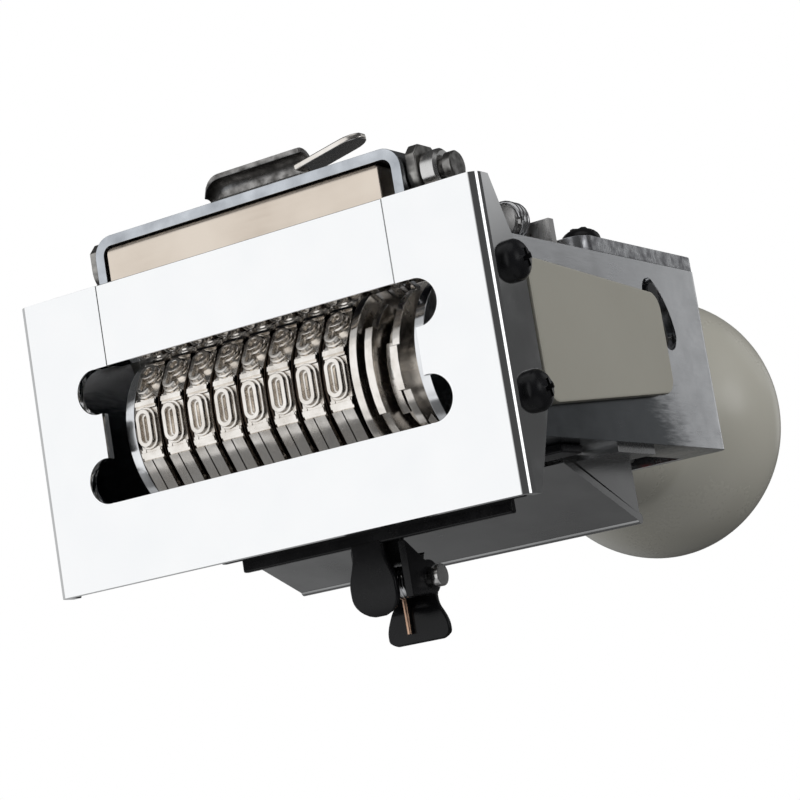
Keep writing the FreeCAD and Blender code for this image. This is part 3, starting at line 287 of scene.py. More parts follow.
# Darker nickel for the ratchet rims, which sit between the drums.
NICKEL_DARK = Finish("darker_rim_nickel", (0.5, 0.475, 0.45), (0.32, 0.3, 0.28), rough=(0.22, 0.45),
                     grain=(700.0, 2600.0, 700.0), relief=0.000006, blotch=300.0)
CASE = Finish("pad_case_nickel", (0.79, 0.7, 0.605), (0.73, 0.635, 0.54), rough=(0.3, 0.46),
              grain=(220.0, 1800.0, 1800.0), relief=0.000002, blotch=90.0)
BLACK = Finish("black_oxide_steel", (0.004, 0.004, 0.0045), (0.008, 0.008, 0.009), metallic=0.0,
               rough=(0.2, 0.36), grain=(1200.0, 1200.0, 1200.0), relief=0.000004, specular=0.22,
               blotch=200.0)
DARK = Finish("blued_steel", (0.36, 0.35, 0.34), (0.11, 0.105, 0.1), rough=(0.26, 0.46),
              grain=(1300.0, 1700.0, 1300.0), relief=0.00001, blotch=900.0)
ARM = Finish("browned_steel", (0.4, 0.39, 0.37), (0.16, 0.155, 0.15), rough=(0.3, 0.5),
             grain=(1300.0, 1300.0, 1300.0), relief=0.00001, blotch=700.0)
STEEL = Finish("turned_steel", (0.75, 0.74, 0.73), (0.55, 0.54, 0.53), rough=(0.18, 0.36),
               grain=(2400.0, 500.0, 500.0), relief=0.000003)
WIRE = Finish("spring_wire", (0.85, 0.85, 0.86), (0.5, 0.5, 0.51), rough=(0.12, 0.28),
              grain=(1400.0, 1400.0, 1400.0), relief=0.000003)
BRONZE = Finish("dull_bronze", (0.12, 0.09, 0.07), (0.05, 0.04, 0.035), rough=(0.35, 0.5),
                grain=(1300.0, 1300.0, 1300.0), relief=0.000005)
COPPER = Finish("copper_tip", (0.75, 0.5, 0.36), (0.6, 0.38, 0.26), rough=(0.3, 0.45))
PLASTIC = Finish("beige_moulding", (0.232, 0.224, 0.192), (0.222, 0.214, 0.183), metallic=0.0,
                 rough=(0.34, 0.42), grain=(2600.0, 2600.0, 2600.0), relief=0.000003, specular=0.45,
                 blotch=60.0)
KNOB = Finish("knob_moulding", (0.33, 0.32, 0.28), (0.315, 0.305, 0.266), metallic=0.0,
              rough=(0.26, 0.32), grain=(1900.0, 1900.0, 1900.0), relief=0.0000015, coat=0.08,
              blotch=45.0)
DIAL = Finish("dial_moulding", (0.012, 0.012, 0.012), (0.018, 0.018, 0.018), metallic=0.0,
              rough=(0.3, 0.4), grain=(2000.0, 2000.0, 2000.0))
NUMERAL = Finish("red_numerals", (0.55, 0.012, 0.01), (0.45, 0.01, 0.01), metallic=0.0, rough=(0.4, 0.5))
FELT = Finish("inked_felt", (0.012, 0.012, 0.02), (0.03, 0.03, 0.045), metallic=0.0, rough=(0.85, 1.0),
              grain=(3200.0, 3200.0, 3200.0), relief=0.00006, sheen=0.25, blotch=500.0)


# Mesh helpers
def new_piece(name: str, mesh: bpy.types.Mesh, finish: Finish) -> bpy.types.Object:
    """Makes an object at the origin from a mesh.

    Args:
        name: Name of the piece.
        mesh: Its mesh, already in place.
        finish: What it is made of.

    Returns:
        The new object, in the scene.
    """
    piece = bpy.data.objects.new(name, mesh)
    bpy.context.scene.collection.objects.link(piece)
    mesh.materials.clear()
    mesh.materials.append(finish.build())
    return piece


def smooth(mesh: bpy.types.Mesh, angle: float = 32.0) -> None:
    """Shades a mesh smooth, except across edges sharper than an angle in degrees."""
    mesh.shade_smooth()
    mesh.set_sharp_from_angle(angle=math.radians(angle))


def flatten(piece: bpy.types.Object) -> bpy.types.Object:
    """Turns a piece with modifiers into a plain mesh.

    Args:
        piece: The piece.

    Returns:
        The same piece.
    """
    bpy.context.view_layer.update()
    graph = bpy.context.evaluated_depsgraph_get()
    mesh = bpy.data.meshes.new_from_object(piece.evaluated_get(graph))
    mesh.name = piece.name
    piece.modifiers.clear()
    piece.data = mesh
    return piece


def bevelled(piece: bpy.types.Object, width: float, segments: int = 2,
             angle: float = 38.0) -> bpy.types.Object:
    """Rounds a piece's sharp edges and shades it, with its flats kept flat.

    Args:
        piece: The piece.
        width: Width of the rounded edges, metres.
        segments: Faces across a rounded edge.
        angle: Edges sharper than this angle in degrees are rounded.

    Returns:
        The same piece.
    """
    bevel = piece.modifiers.new("edges", "BEVEL")
    bevel.width = width
    bevel.segments = segments
    bevel.limit_method = "ANGLE"
    bevel.angle_limit = math.radians(angle)
    bevel.use_clamp_overlap = True
    flatten(piece)
    smooth(piece.data)
    weigh = piece.modifiers.new("weights", "WEIGHTED_NORMAL")
    weigh.keep_sharp = True
    return flatten(piece)


def mesh_from(build: bmesh.types.BMesh, name: str) -> bpy.types.Mesh:
    """Closes a bmesh's seams, points its faces outwards and makes it a mesh.

    Args:
        build: The bmesh, which is used up.
        name: Name of the mesh.

    Returns:
        The mesh.
    """
    bmesh.ops.remove_doubles(build, verts=build.verts, dist=0.000001)
    bmesh.ops.recalc_face_normals(build, faces=build.faces)
    mesh = bpy.data.meshes.new(name)
    build.to_mesh(mesh)
    build.free()
    return mesh


def close_rows(build: bmesh.types.BMesh, rows: Sequence[Sequence[bmesh.types.BMVert]],
               caps: bool = True) -> None:
    """Joins rings of points, each to the next, into a closed tube.

    Args:
        build: The bmesh that has the points.
        rows: The rings, all with the same number of points.
        caps: Whether the first and the last ring are closed by a face.
    """
    for first, second in zip(rows, rows[1:]):
        for corner in range(len(first)):
            after = (corner + 1) % len(first)
            build.faces.new([first[corner], first[after], second[after], second[corner]])
    if caps:
        build.faces.new(rows[0][::-1])
        build.faces.new(rows[-1])


def add_box(build: bmesh.types.BMesh, low: Point, high: Point) -> None:
    """Adds a box between two corners.

    Args:
        build: The bmesh that gets it.
        low: Its lowest corner, millimetres.
        high: Its highest corner.
    """
    verts = [build.verts.new(Vector((x, y, z)) * MM)
             for x in (low[0], high[0]) for y in (low[1], high[1]) for z in (low[2], high[2])]
    for face in ((0, 1, 3, 2), (4, 6, 7, 5), (0, 4, 5, 1), (2, 3, 7, 6), (0, 2, 6, 4), (1, 5, 7, 3)):
        build.faces.new([verts[index] for index in face])


def add_prism(build: bmesh.types.BMesh, outline: Sequence[Flat], start: float, end: float,
              lift: Lift) -> None:
    """Adds a prism: an outline in two axes, stretched along the third.

    Args:
        build: The bmesh that gets it.
        outline: Its corners in millimetres.
        start: Where it starts along the third axis.
        end: Where it ends.
        lift: Turns (first, second, along) into x, y and z in millimetres.
    """
    rows = [[build.verts.new(Vector(lift(u, v, along)) * MM) for u, v in outline] for along in (start, end)]
    close_rows(build, rows)


def along_x(u: float, v: float, along: float) -> Point:
    """An outline in Y and Z, stretched along X."""
    return along, u, v


def along_y(u: float, v: float, along: float) -> Point:
    """An outline in X and Z, stretched along Y."""
    return u, along, v


def along_z(u: float, v: float, along: float) -> Point:
    """An outline in X and Y, stretched along Z."""
    return u, v, along


def arc(centre: Flat, radius: float, first: float, last: float, steps: int) -> list[Flat]:
    """Points on an arc, from one angle to another in degrees."""
    turns = [math.radians(first + (last - first) * step / steps) for step in range(steps + 1)]
    return [(centre[0] + radius * math.cos(turn), centre[1] + radius * math.sin(turn)) for turn in turns]


def smooth_step(value: float, low: float, high: float) -> float:
    """0 below low, 1 above high, and a smooth change between them."""
    share = min(1.0, max(0.0, (value - low) / (high - low)))
    return share * share * (3.0 - 2.0 * share)


def lathe(profile: Sequence[Flat], steps: int = 96) -> bmesh.types.BMesh:
    """Turns a profile around the Z axis.

    Args:
        profile: Points of (radius, height), millimetres.
        steps: Faces around.

    Returns:
        A bmesh with the turned shape.
    """
    build = bmesh.new()
    rings = []
    for radius, height in profile:
        if radius < 1e-6:
            rings.append([build.verts.new((0.0, 0.0, height * MM))])
            continue
        ring = []
        for step in range(steps):
            turn = 2 * math.pi * step / steps
            spot = (radius * math.cos(turn) * MM, radius * math.sin(turn) * MM, height * MM)
            ring.append(build.verts.new(spot))
        rings.append(ring)
    for below, above in zip(rings, rings[1:]):
        for step in range(steps):
            after = (step + 1) % steps
            face = [below[step % len(below)], below[after % len(below)],
                    above[after % len(above)], above[step % len(above)]]
            unique = list(dict.fromkeys(face))
            if len(unique) > 2:
                build.faces.new(unique)
    return build


def bent_sheet(path: Sequence[Flat], widths: Sequence[Flat], thick: float,
               lift: Lift) -> bmesh.types.BMesh:
    """A strip of sheet metal that follows a path, with its own width at each point of the path.

    Args:
        path: Points of the strip's middle line in two axes, millimetres.
        widths: Where the strip starts and ends along the third axis, at each point.
        thick: Thickness in millimetres.
        lift: Turns (first, second, along) into x, y and z in millimetres.

    Returns:
        A bmesh with the closed strip.
    """
    build = bmesh.new()
    rings = []
    for index, (here, width) in enumerate(zip(path, widths)):
        before, after = path[max(index - 1, 0)], path[min(index + 1, len(path) - 1)]
        run = Vector((after[0] - before[0], after[1] - before[1])).normalized()
        side = Vector((-run.y, run.x)) * thick / 2
        ring = []
        for sign, along in ((1, width[0]), (1, width[1]), (-1, width[1]), (-1, width[0])):
            place = lift(here[0] + side.x * sign, here[1] + side.y * sign, along)
            ring.append(build.verts.new(Vector(place) * MM))
        rings.append(ring)
    close_rows(build, rings)
    return build


def join_meshes(name: str, meshes: Iterable[bpy.types.Mesh], finish: Finish) -> bpy.types.Object:
    """Makes one piece from several meshes.

    Args:
        name: Name of the piece.
        meshes: What it is made from.
        finish: What it is made of.

    Returns:
        The new piece.
    """
    build = bmesh.new()
    for mesh in meshes:
        build.from_mesh(mesh)
    joined = bpy.data.meshes.new(name)
    build.to_mesh(joined)
    build.free()
    return new_piece(name, joined, finish)


def add_ribbon(build: bmesh.types.BMesh, path: Sequence[Flat], closed: bool,
               section: Sequence[Flat], lift: Lift) -> None:
    """Adds a stroke that stands up from a face: a section carried along a flat path.

    Args:
        build: The bmesh that gets it.
        path: Points of the stroke's middle line.
        closed: Whether the path ends where it starts.
        section: Points of (side offset, height) across the stroke, from its left foot to its right foot.
        lift: Turns (first, second, height) into x, y and z in millimetres.
    """
    count = len(path)
    rows = []
    for index, here in enumerate(path):
        before = path[(index - 1) % count] if closed else path[max(index - 1, 0)]
        after = path[(index + 1) % count] if closed else path[min(index + 1, count - 1)]
        arrive = Vector((here[0] - before[0], here[1] - before[1]))
        leave = Vector((after[0] - here[0], after[1] - here[1]))
        arrive = (arrive if arrive.length > 1e-6 else leave).normalized()
        leave = (leave if leave.length > 1e-6 else arrive).normalized()
        run = (arrive + leave).normalized()
        stretch = 1.0 / max(0.5, run.dot(leave))
        side = Vector((-run.y, run.x)) * stretch
        row = [lift(here[0] + side.x * off, here[1] + side.y * off, high) for off, high in section]
        rows.append([build.verts.new(Vector(spot) * MM) for spot in row])
    close_rows(build, rows + rows[:1] if closed else rows, caps=not closed)


def add_tube(build: bmesh.types.BMesh, outer: Sequence[Flat],
             inner: Sequence[Flat], start: float, end: float) -> None:
    """Adds a tube along X.

    Args:
        build: The bmesh that gets it.
        outer: The outer outline in Y and Z, millimetres.
        inner: The inner outline, with the same number of points.
        start: Where the tube starts along X.
        end: Where it ends.
    """
    count = len(outer)
    rows = [[build.verts.new(Vector((along, y, z)) * MM) for y, z in outline]
            for along in (start, end) for outline in (outer, inner)]
    for index in range(count):
        after = (index + 1) % count
        for first, second in ((0, 1), (1, 3), (3, 2), (2, 0)):
            build.faces.new([rows[first][index], rows[first][after],
                             rows[second][after], rows[second][index]])


# Geometry Nodes
class Tree(Graph):
    """A Geometry Nodes tree that ends in Realize Instances and Set Material."""

    def __init__(self, name: str, inputs: Sequence[tuple[str, str]]) -> None:
        """Makes the tree.

        Args:
            name: Its name.
            inputs: Its inputs, each a name and the kind of its socket.
        """
        super().__init__(bpy.data.node_groups.new(name, "GeometryNodeTree"))
        face = self.tree.interface
        face.new_socket(name="Geometry", in_out="INPUT", socket_type="NodeSocketGeometry")
        for label, kind in (*inputs, ("Material", "Material")):
            face.new_socket(name=label, in_out="INPUT", socket_type=f"NodeSocket{kind}")
        face.new_socket(name="Geometry", in_out="OUTPUT", socket_type="NodeSocketGeometry")
        self.given = self.node("NodeGroupInput").outputs

    def end(self, geometry: bpy.types.NodeSocket) -> None:
        """Closes the tree with Realize Instances and Set Material."""
        real = self.node("GeometryNodeRealizeInstances", Geometry=geometry)
        dressed = self.node("GeometryNodeSetMaterial", Geometry=real.outputs[0],
                            Material=self.given["Material"])
        self.node("NodeGroupOutput", Geometry=dressed.outputs[0])

    def copies(self, points: bpy.types.NodeSocket, turn: bpy.types.NodeSocket) -> bpy.types.NodeSocket:
        """Sets a copy of the piece on each point, turned by an Euler rotation.

        Args:
            points: The points.
            turn: The rotation.

        Returns:
            The copies.
        """
        rotation = self.node("FunctionNodeEulerToRotation", Euler=turn).outputs[0]
        return self.node("GeometryNodeInstanceOnPoints", Points=points, Instance=self.given["Geometry"],
                         Rotation=rotation).outputs[0]

    def grow(self, piece: bpy.types.Object, finish: Finish, **values: object) -> bpy.types.Object:
        """Runs the tree on a piece and leaves it a plain mesh.

        Args:
            piece: The piece.
            finish: What it is made of.
            **values: What each input gets, by its name.

        Returns:
            The same piece.
        """
        modifier = piece.modifiers.new(self.tree.name, "NODES")
        modifier.node_group = self.tree
        sockets = {item.name: item.identifier for item in self.tree.interface.items_tree
                   if item.in_out == "INPUT"}
        for label, value in {**values, "Material": finish.build()}.items():
            modifier[sockets[label]] = value
        return flatten(piece)


def ring_tree() -> Tree:
    """Repeats a piece around the X axis through the origin.

    Returns:
        The tree.
    """
    tree = Tree("ring_around_x", [("Count", "Int"), ("First", "Float"), ("Step", "Float")])
    points = tree.node("GeometryNodePoints", Count=tree.given["Count"]).outputs[0]
    index = tree.node("GeometryNodeInputIndex").outputs[0]
    turn = tree.maths("ADD", tree.maths("MULTIPLY", index, tree.given["Step"]), tree.given["First"])
    tree.end(tree.copies(points, tree.node("ShaderNodeCombineXYZ", X=turn).outputs[0]))
    return tree


def row_tree() -> Tree:
    """Repeats a piece along a line, each copy turned the same way.

    Returns:
        The tree.
    """
    tree = Tree("row_of_pieces", [("Count", "Int"), ("Start", "Vector"), ("Step", "Vector"),
                                  ("Turn", "Vector")])
    index = tree.node("GeometryNodeInputIndex").outputs[0]
    place = tree.vectors("ADD", tree.vectors("SCALE", tree.given["Step"], index), tree.given["Start"])
    points = tree.node("GeometryNodePoints", Count=tree.given["Count"], Position=place).outputs[0]
    tree.end(tree.copies(points, tree.given["Turn"]))
    return tree


def coil_tree() -> Tree:
    """A wire wound into a helix that stands on Z, then turned and moved to its place.

    Returns:
        The tree.
    """
    tree = Tree("wound_wire", [("Turns", "Float"), ("Radius", "Float"), ("Height", "Float"),
                               ("Wire", "Float"), ("Turn", "Vector"), ("Place", "Vector")])
    spiral = tree.node("GeometryNodeCurveSpiral", Resolution=28, Rotations=tree.given["Turns"],
                       Start_Radius=tree.given["Radius"], End_Radius=tree.given["Radius"],
                       Height=tree.given["Height"])
    section = tree.node("GeometryNodeCurvePrimitiveCircle", Resolution=10, Radius=tree.given["Wire"])
    wire = tree.node("GeometryNodeCurveToMesh", Curve=spiral.outputs[0], Profile_Curve=section.outputs[0],
                     Fill_Caps=True)
    rotation = tree.node("FunctionNodeEulerToRotation", Euler=tree.given["Turn"])
    moved = tree.node("GeometryNodeTransform", Geometry=wire.outputs[0], Translation=tree.given["Place"],
                      Rotation=rotation.outputs[0])
    tree.end(moved.outputs[0])
    return tree


RING, ROW, COIL = ring_tree(), row_tree(), coil_tree()


def joined_copy(node: str) -> bmesh.types.BMesh:
    """Copies a CAD node's mesh, with its seams closed and its flat faces joined.

    Args:
        node: The node's name.

    Returns:
        The copy.
    """
    build = bmesh.new()
    build.from_mesh(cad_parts[node].data)
    bmesh.ops.remove_doubles(build, verts=build.verts, dist=0.000002)
    bmesh.ops.dissolve_limit(build, angle_limit=math.radians(1.5), verts=build.verts, edges=build.edges)
    return build


@dataclass
class Assembly:
    """A sub-assembly: it keeps its body's name and attaches its pieces to their bodies."""

    body: str

    def add(self, piece: bpy.types.Object, slot: Slot, *replaced: str, body: str = "") -> None:
        """Lets a piece ride on its body and stand for its CAD nodes.

        Args:
            piece: The piece.
            slot: The record's slot for it; not used.
            *replaced: The CAD nodes that it stands for.
            body: The body that it rides on, where it isn't the assembly's own.
        """
        if replaced:
            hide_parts(*replaced)
        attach(piece, body or self.body)
        LOG.info("%s rides on %s", piece.name, body or self.body)

    def make(self, name: str, build: bmesh.types.BMesh, finish: Finish, slot: Slot, *replaced: str,
             edge: float = 0.0, steps: int = 2, fold: float = 38.0, body: str = "") -> bpy.types.Object:
        """Makes a piece from a bmesh and adds it.

        Args:
            name: Its name.
            build: Its shape, which is used up.
            finish: What it is made of.
            slot: The record's slot for it.
            *replaced: The CAD nodes that it stands for.
            edge: Width of its rounded edges in millimetres, or 0 for none.
            steps: Faces across a rounded edge.
            fold: Where no edge is rounded, those sharper than this angle in degrees stay sharp.
            body: The body that it rides on, where it isn't the assembly's own.

        Returns:
            The new piece.
        """
        piece = new_piece(name, mesh_from(build, name), finish)
        if edge:
            bevelled(piece, edge * MM, steps)
        else:
            smooth(piece.data, fold)
        self.add(piece, slot, *replaced, body=body)
        return piece

    def wind(self, name: str, wire: float, turns: float, radius: float, height: float, place: Point,
             *replaced: str, turn: float = 0.0) -> None:
        """Winds a coil spring and adds it.

        Args:
            name: Its name.
            wire: Radius of its wire, millimetres.
            turns: How many turns it has.
            radius: Radius of the coil's middle line, metres.
            height: Height of that line, metres.
            place: Where the line starts, metres.
            *replaced: The CAD nodes that it stands for.
            turn: Its turn about Y, from standing on Z.
        """
        piece = new_piece(name, bpy.data.meshes.new(f"{name}_seed"), WIRE)
        COIL.grow(piece, WIRE, Turns=turns, Radius=radius, Height=height, Wire=wire * MM,
                  Turn=(0.0, turn, 0.0), Place=place)
        smooth(piece.data, 60.0)
        self.add(piece, Slot.SPRING, *replaced)

    def dress(self, node: str, finish: Finish, slot: Slot, edge: float = 0.12, bend: float = 0.0,
              body: str = "") -> None:
        """Makes a rounded copy of a CAD node that stands for it.

        Args:
            node: The CAD node.
            finish: What the piece is made of.
            slot: The record's slot for it.
            edge: Width of the rounded edges, millimetres.
            bend: Outer radius of the two long bends under the node's right and left sides, millimetres.
            body: The body that it rides on, where it isn't the assembly's own.
        """
        build = joined_copy(node)
        if bend:
            low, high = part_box(node)
            folds = [corner for corner in build.edges if corner.is_manifold
                     and all(abs(abs(vert.co.x) - high.x) < 1e-5 and abs(vert.co.z - low.z) < 1e-5
                             for vert in corner.verts)]
            bmesh.ops.bevel(build, geom=folds, offset=bend * MM, segments=8, affect="EDGES", profile=0.5)
        mesh = bpy.data.meshes.new(f"{node}_skin")
        build.to_mesh(mesh)
        build.free()
        self.add(bevelled(new_piece(f"{node}_skin", mesh, finish), edge * MM), slot, node, body=body)


@dataclass
class Foot(Assembly):
    """The foot plate, its flanges, the front bar and the screws that hold it to the frame."""

    plate_bend: float = 1.5
    screw_rise: float = 2.0
    screw_radius: float = 2.45
    recess_turn: float = 70.0

    def build(self) -> None:
        """Builds the foot."""
        self.dress("foot_plate", POLISHED, Slot.SHEET, bend=self.plate_bend)
        self.dress("foot_front_bar", POLISHED, Slot.SHEET)
        self.screws(-1, "left")
        self.screws(1, "right", "foot_screws")

    def screws(self, side: int, name: str, *replaced: str) -> None:
        """Builds the two screws of one flange.

        Args:
            side: 1 for the right flange and -1 for the left.
            name: The side's name.
            *replaced: The CAD nodes that they stand for.
        """
        low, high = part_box("foot_screws")
        face = high.x / MM - self.screw_rise
        ys = (low.y / MM + self.screw_radius, high.y / MM - self.screw_radius)
        level = (low.z + high.z) / 2 / MM
        piece = new_piece(f"foot_screw_heads_{name}", pan_head(self.screw_radius, self.screw_rise), BLACK)
        ROW.grow(piece, BLACK, Count=2, Start=(side * face * MM, ys[0] * MM, level * MM),
                 Step=(0.0, (ys[1] - ys[0]) * MM, 0.0),
                 Turn=(side * math.pi / 2, side * math.radians(self.recess_turn), math.pi / 2))
        self.add(piece, Slot.BLACK, *replaced)


def pan_head(radius: float, rise: float) -> bpy.types.Mesh:
    """A domed screw head with a cross recess, standing on the XY plane.

    Args:
        radius: Radius of the head, millimetres.
        rise: Height of the head.

    Returns:
        The head's mesh, closed underneath.
    """
    steps = 64
    profile = [(0.0, -0.6), (radius * 0.55, -0.6), (radius * 0.55, 0.0), (radius, 0.0), (radius, rise * 0.22)]
    profile += [(radius * math.cos(turn), rise * (0.22 + 0.78 * math.sin(turn)))
                for turn in (math.radians(angle) for angle in (12, 26, 40, 52, 62))]
    rim = profile[-1]
    build = lathe(profile, steps)
    crown = [vert for vert in build.verts if abs(vert.co.z / MM - rim[1]) < 1e-4]
    crown.sort(key=lambda vert: math.atan2(vert.co.y, vert.co.x))
    arm, half, depth = radius * 0.44, radius * 0.115, rise * 0.62
    cross = []
    for quarter in range(4):
        turn = Matrix.Rotation(math.pi / 2 * quarter, 2)
        for x, y in ((arm, -half), (arm, half), (half, half)):
            cross.append(turn @ Vector((x, y)))
    top = rise * 0.99
    rings = []
    for level, shrink in ((top, 1.0), (top - depth, 0.55)):
        rings.append([build.verts.new((spot.x * shrink * MM, spot.y * shrink * MM, level * MM))
                      for spot in cross])
    close_rows(build, rings, caps=False)
    build.faces.new(rings[1])
    outer = [(crown[index], crown[(index + 1) % steps]) for index in range(steps)]
    inner = [(rings[0][index], rings[0][(index + 1) % len(cross)]) for index in range(len(cross))]
    edges = []
    for first, second in outer + inner:
        edges.append(build.edges.get((first, second)) or build.edges.new((first, second)))
    bmesh.ops.triangle_fill(build, edges=edges, use_beauty=True)
    mesh = mesh_from(build, "pan_head")
    smooth(mesh, 40.0)
    return mesh


@dataclass
class Frame(Assembly):
    """The frame's inverted U, the front plate, the covers and the small parts fixed to them."""

    screw_rise: float = 2.0
    screw_radius: float = 2.45
    recess_turn: float = 30.0
    pad_wire: float = 0.36
    pad_wire_gap: float = 0.06
    pad_spring_room: float = 0.02
    return_wire: float = 0.7
    return_turns: float = 9.0

    def build(self) -> None:
        """Builds the frame."""
        # The frame's sides carry SIDE's painted shade, darker towards their bottom and rear.
        self.dress("frame_yoke", SIDE, Slot.SHEET, 0.1)
        self.dress("front_plate", EDGE, Slot.SHEET, 0.08)
        self.plate_screws()
        for node, finish, slot, edge in (
                ("side_cover_right", PLASTIC, Slot.PLASTIC, 0.35),
                ("side_cover_left", PLASTIC, Slot.PLASTIC, 0.35),
                ("plunger_bush", NICKEL, Slot.NICKEL, 0.25), ("rear_guard", GUARD, Slot.SHEET, 0.1),
                ("dial_bracket", BLACK, Slot.BLACK, 0.12), ("lever_pin", BLACK, Slot.BLACK, 0.25),
                ("spring_posts", STEEL, Slot.NICKEL, 0.3)):
            self.dress(node, finish, slot, edge)
        self.pad_springs()
        self.return_spring()

    def plate_screws(self) -> None:
        """Builds the two screws of the front plate."""
        low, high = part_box("front_plate_screws")
        reach = self.screw_radius * MM
        xs = (low.x + reach, high.x - reach)
        piece = new_piece("plate_screw_heads", pan_head(self.screw_radius, self.screw_rise), BLACK)
        ROW.grow(piece, BLACK, Count=2, Start=(xs[0], low.y + self.screw_rise * MM, (low.z + high.z) / 2),
                 Step=(xs[1] - xs[0], 0.0, 0.0), Turn=(math.pi / 2, math.radians(self.recess_turn), 0.0))
        self.add(piece, Slot.BLACK, "front_plate_screws")

    def pad_springs(self) -> None:
        """Winds the torsion spring on each post."""
        low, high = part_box("pad_springs")
        wire = self.pad_wire
        radius = (high.y - low.y) / 2 / MM - wire - self.pad_spring_room
        middle = (high.x - (high.y - low.y) / 2, (low.y + high.y) / 2)
        turns = (high.z - low.z) / MM / (wire * 2 + self.pad_wire_gap) - 1.0
        for side, name, replaced in ((1, "right", ("pad_springs",)), (-1, "left", ())):
            self.wind(f"pad_spring_{name}", wire, turns, radius * MM, high.z - low.z - wire * 2 * MM,
                      (side * middle[0], middle[1], low.z + wire * MM), *replaced)

    def return_spring(self) -> None:
        """Winds the return spring between the bush and the knob's ceiling."""
        low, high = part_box("return_spring")
        wire = self.return_wire
        self.wind("return_spring_coil", wire, self.return_turns, high.x - wire * MM,
                  high.z - low.z - wire * 2 * MM, (0.0, 0.0, low.z + wire * MM), "return_spring")


@dataclass
class Rear(Assembly):
    """The latch bar, its pin and spring, and the finger latch that turns on the pin."""

    latch: str = "latch"
    pin: Flat = (22.3, 26.0)
    bar_boxes: tuple[tuple[Point, Point], ...] = (
        ((-22.0, 12.0, 19.2), (22.0, 16.0, 20.3)), ((-19.6, 12.0, 20.3), (19.6, 17.5, 21.4)),
        ((-29.5, 11.3, 16.2), (-21.0, 12.4, 21.4)), ((21.0, 11.3, 16.2), (29.5, 12.4, 21.4)))
    tongue_start: Flat = (17.0, 20.75)
    tongue_short: float = 0.4
    tongue_left: float = 1.15
    tongue_half: Flat = (2.3, 3.3)
    tongue_rise: float = 0.9
    tongue_thick: float = 1.0
    ear: Flat = (2.9, 4.0)
    ear_foot: tuple[Flat, ...] = ((17.6, 21.0), (24.6, 21.0))
    ear_head: float = 2.2
    cheek: Flat = (1.6, 2.7)
    cheek_head: float = 2.1
    cheek_back: float = 3.1
    cheek_top: float = 3.2
    web_front: float = 2.2
    web_top: float = 1.0
    hook_reach: float = 7.3
    hook_level: float = 22.2
    plate_long: float = 9.15
    plate_level: float = 2.75
    plate_drop: float = 1.0
    plate_flare: float = 1.75
    plate_round: float = 1.2
    plate_thick: float = 0.85
    wire: float = 0.3
    turns: float = 3.6
    leg: Flat = (-0.9, 26.8)
    leg_span: Flat = (23.6, 28.6)

    def build(self) -> None:
        """Builds the latch."""
        bar = bmesh.new()
        for low, high in self.bar_boxes:
            add_box(bar, low, high)
        self.make("latch_bar_sheet", bar, BLACK, Slot.BLACK, "latch_bar", edge=0.25, steps=3)
        self.tongue()
        self.ears()
        self.dress("latch_pin", STEEL, Slot.STEEL, 0.25)
        self.cheeks()
        self.finger_plate()
        self.spring()

    def tongue(self) -> None:
        """The bar's tongue, which widens from its neck and has a rolled, rounded lip."""
        start, level = self.tongue_start
        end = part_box("latch_bar")[1].y / MM - self.tongue_short
        neck, half = self.tongue_half
        path, widths = [], []
        steps = 26
        for step in range(steps + 1):
            share = step / steps
            wide = neck + (half - neck) * smooth_step(share, 0.15, 0.6)
            if share > 0.72:
                wide = half * math.sqrt(max(0.03, 1.0 - ((share - 0.72) / 0.285) ** 2))
            path.append((start + (end - start) * share,
                         level + self.tongue_rise * max(0.0, (share - 0.62) / 0.38) ** 2))
            widths.append((-wide - self.tongue_left, wide - self.tongue_left))
        sheet = bent_sheet(path, widths, self.tongue_thick, along_x)
        self.make("latch_tongue", sheet, BLACK, Slot.BLACK, edge=0.3, steps=3)

    def ears(self) -> None:
        """The ears beside the tongue, each with a rounded head around the latch pin."""
        outline = [*self.ear_foot] + arc(self.pin, self.ear_head, -20.0, 200.0, 16)
        for side, name in ((1, "right"), (-1, "left")):
            build = bmesh.new()
            add_prism(build, outline, *sorted((side * self.ear[0], side * self.ear[1])), along_x)
            self.make(f"latch_ear_{name}", build, BLACK, Slot.BLACK, edge=0.2)

    def cheeks(self) -> None:
        """The cheeks of the finger latch, the web between them and its hook."""
        y, z = self.pin
        inner, outer = self.cheek
        back, front = y - self.cheek_back, y - self.web_front
        outline = arc(self.pin, self.cheek_head, -160.0, -20.0, 10)
        outline += [(y + 2.0, z + self.cheek_top), (y - 1.6, z + self.cheek_top)]
        build = bmesh.new()
        for side in (-1, 1):
            start, end = sorted((side * inner, side * outer))
            add_prism(build, outline, start, end, along_x)
            add_box(build, (start, back, z - 1.5), (end, y, z + self.web_top))
        add_box(build, (-outer, back, self.hook_level), (outer, front, z + self.web_top))
        add_box(build, (-outer, y - self.hook_reach, self.hook_level), (outer, front, self.hook_level + 0.9))
        self.make("latch_cheeks", build, BLACK, Slot.BLACK, "latch_lever", edge=0.15, body=self.latch)

    def finger_plate(self) -> None:
        """The finger plate: it dips, flares and ends in rounded corners."""
        y, z = self.pin
        path, widths = [], []
        steps = 30
        for step in range(steps + 1):
            share = step / steps
            half = self.cheek[1] + self.plate_flare * smooth_step(share, 0.3, 0.85)
            if share > 0.9:
                half -= self.plate_round * ((share - 0.9) / 0.1) ** 2.2
            path.append((y - 1.6 + self.plate_long * share,
                         z + self.plate_level - self.plate_drop * smooth_step(share, 0.3, 0.6)))
            widths.append((-half, half))
        sheet = bent_sheet(path, widths, self.plate_thick, along_x)
        self.make("latch_finger_plate", sheet, BLACK, Slot.BLACK, edge=0.25, steps=3, body=self.latch)

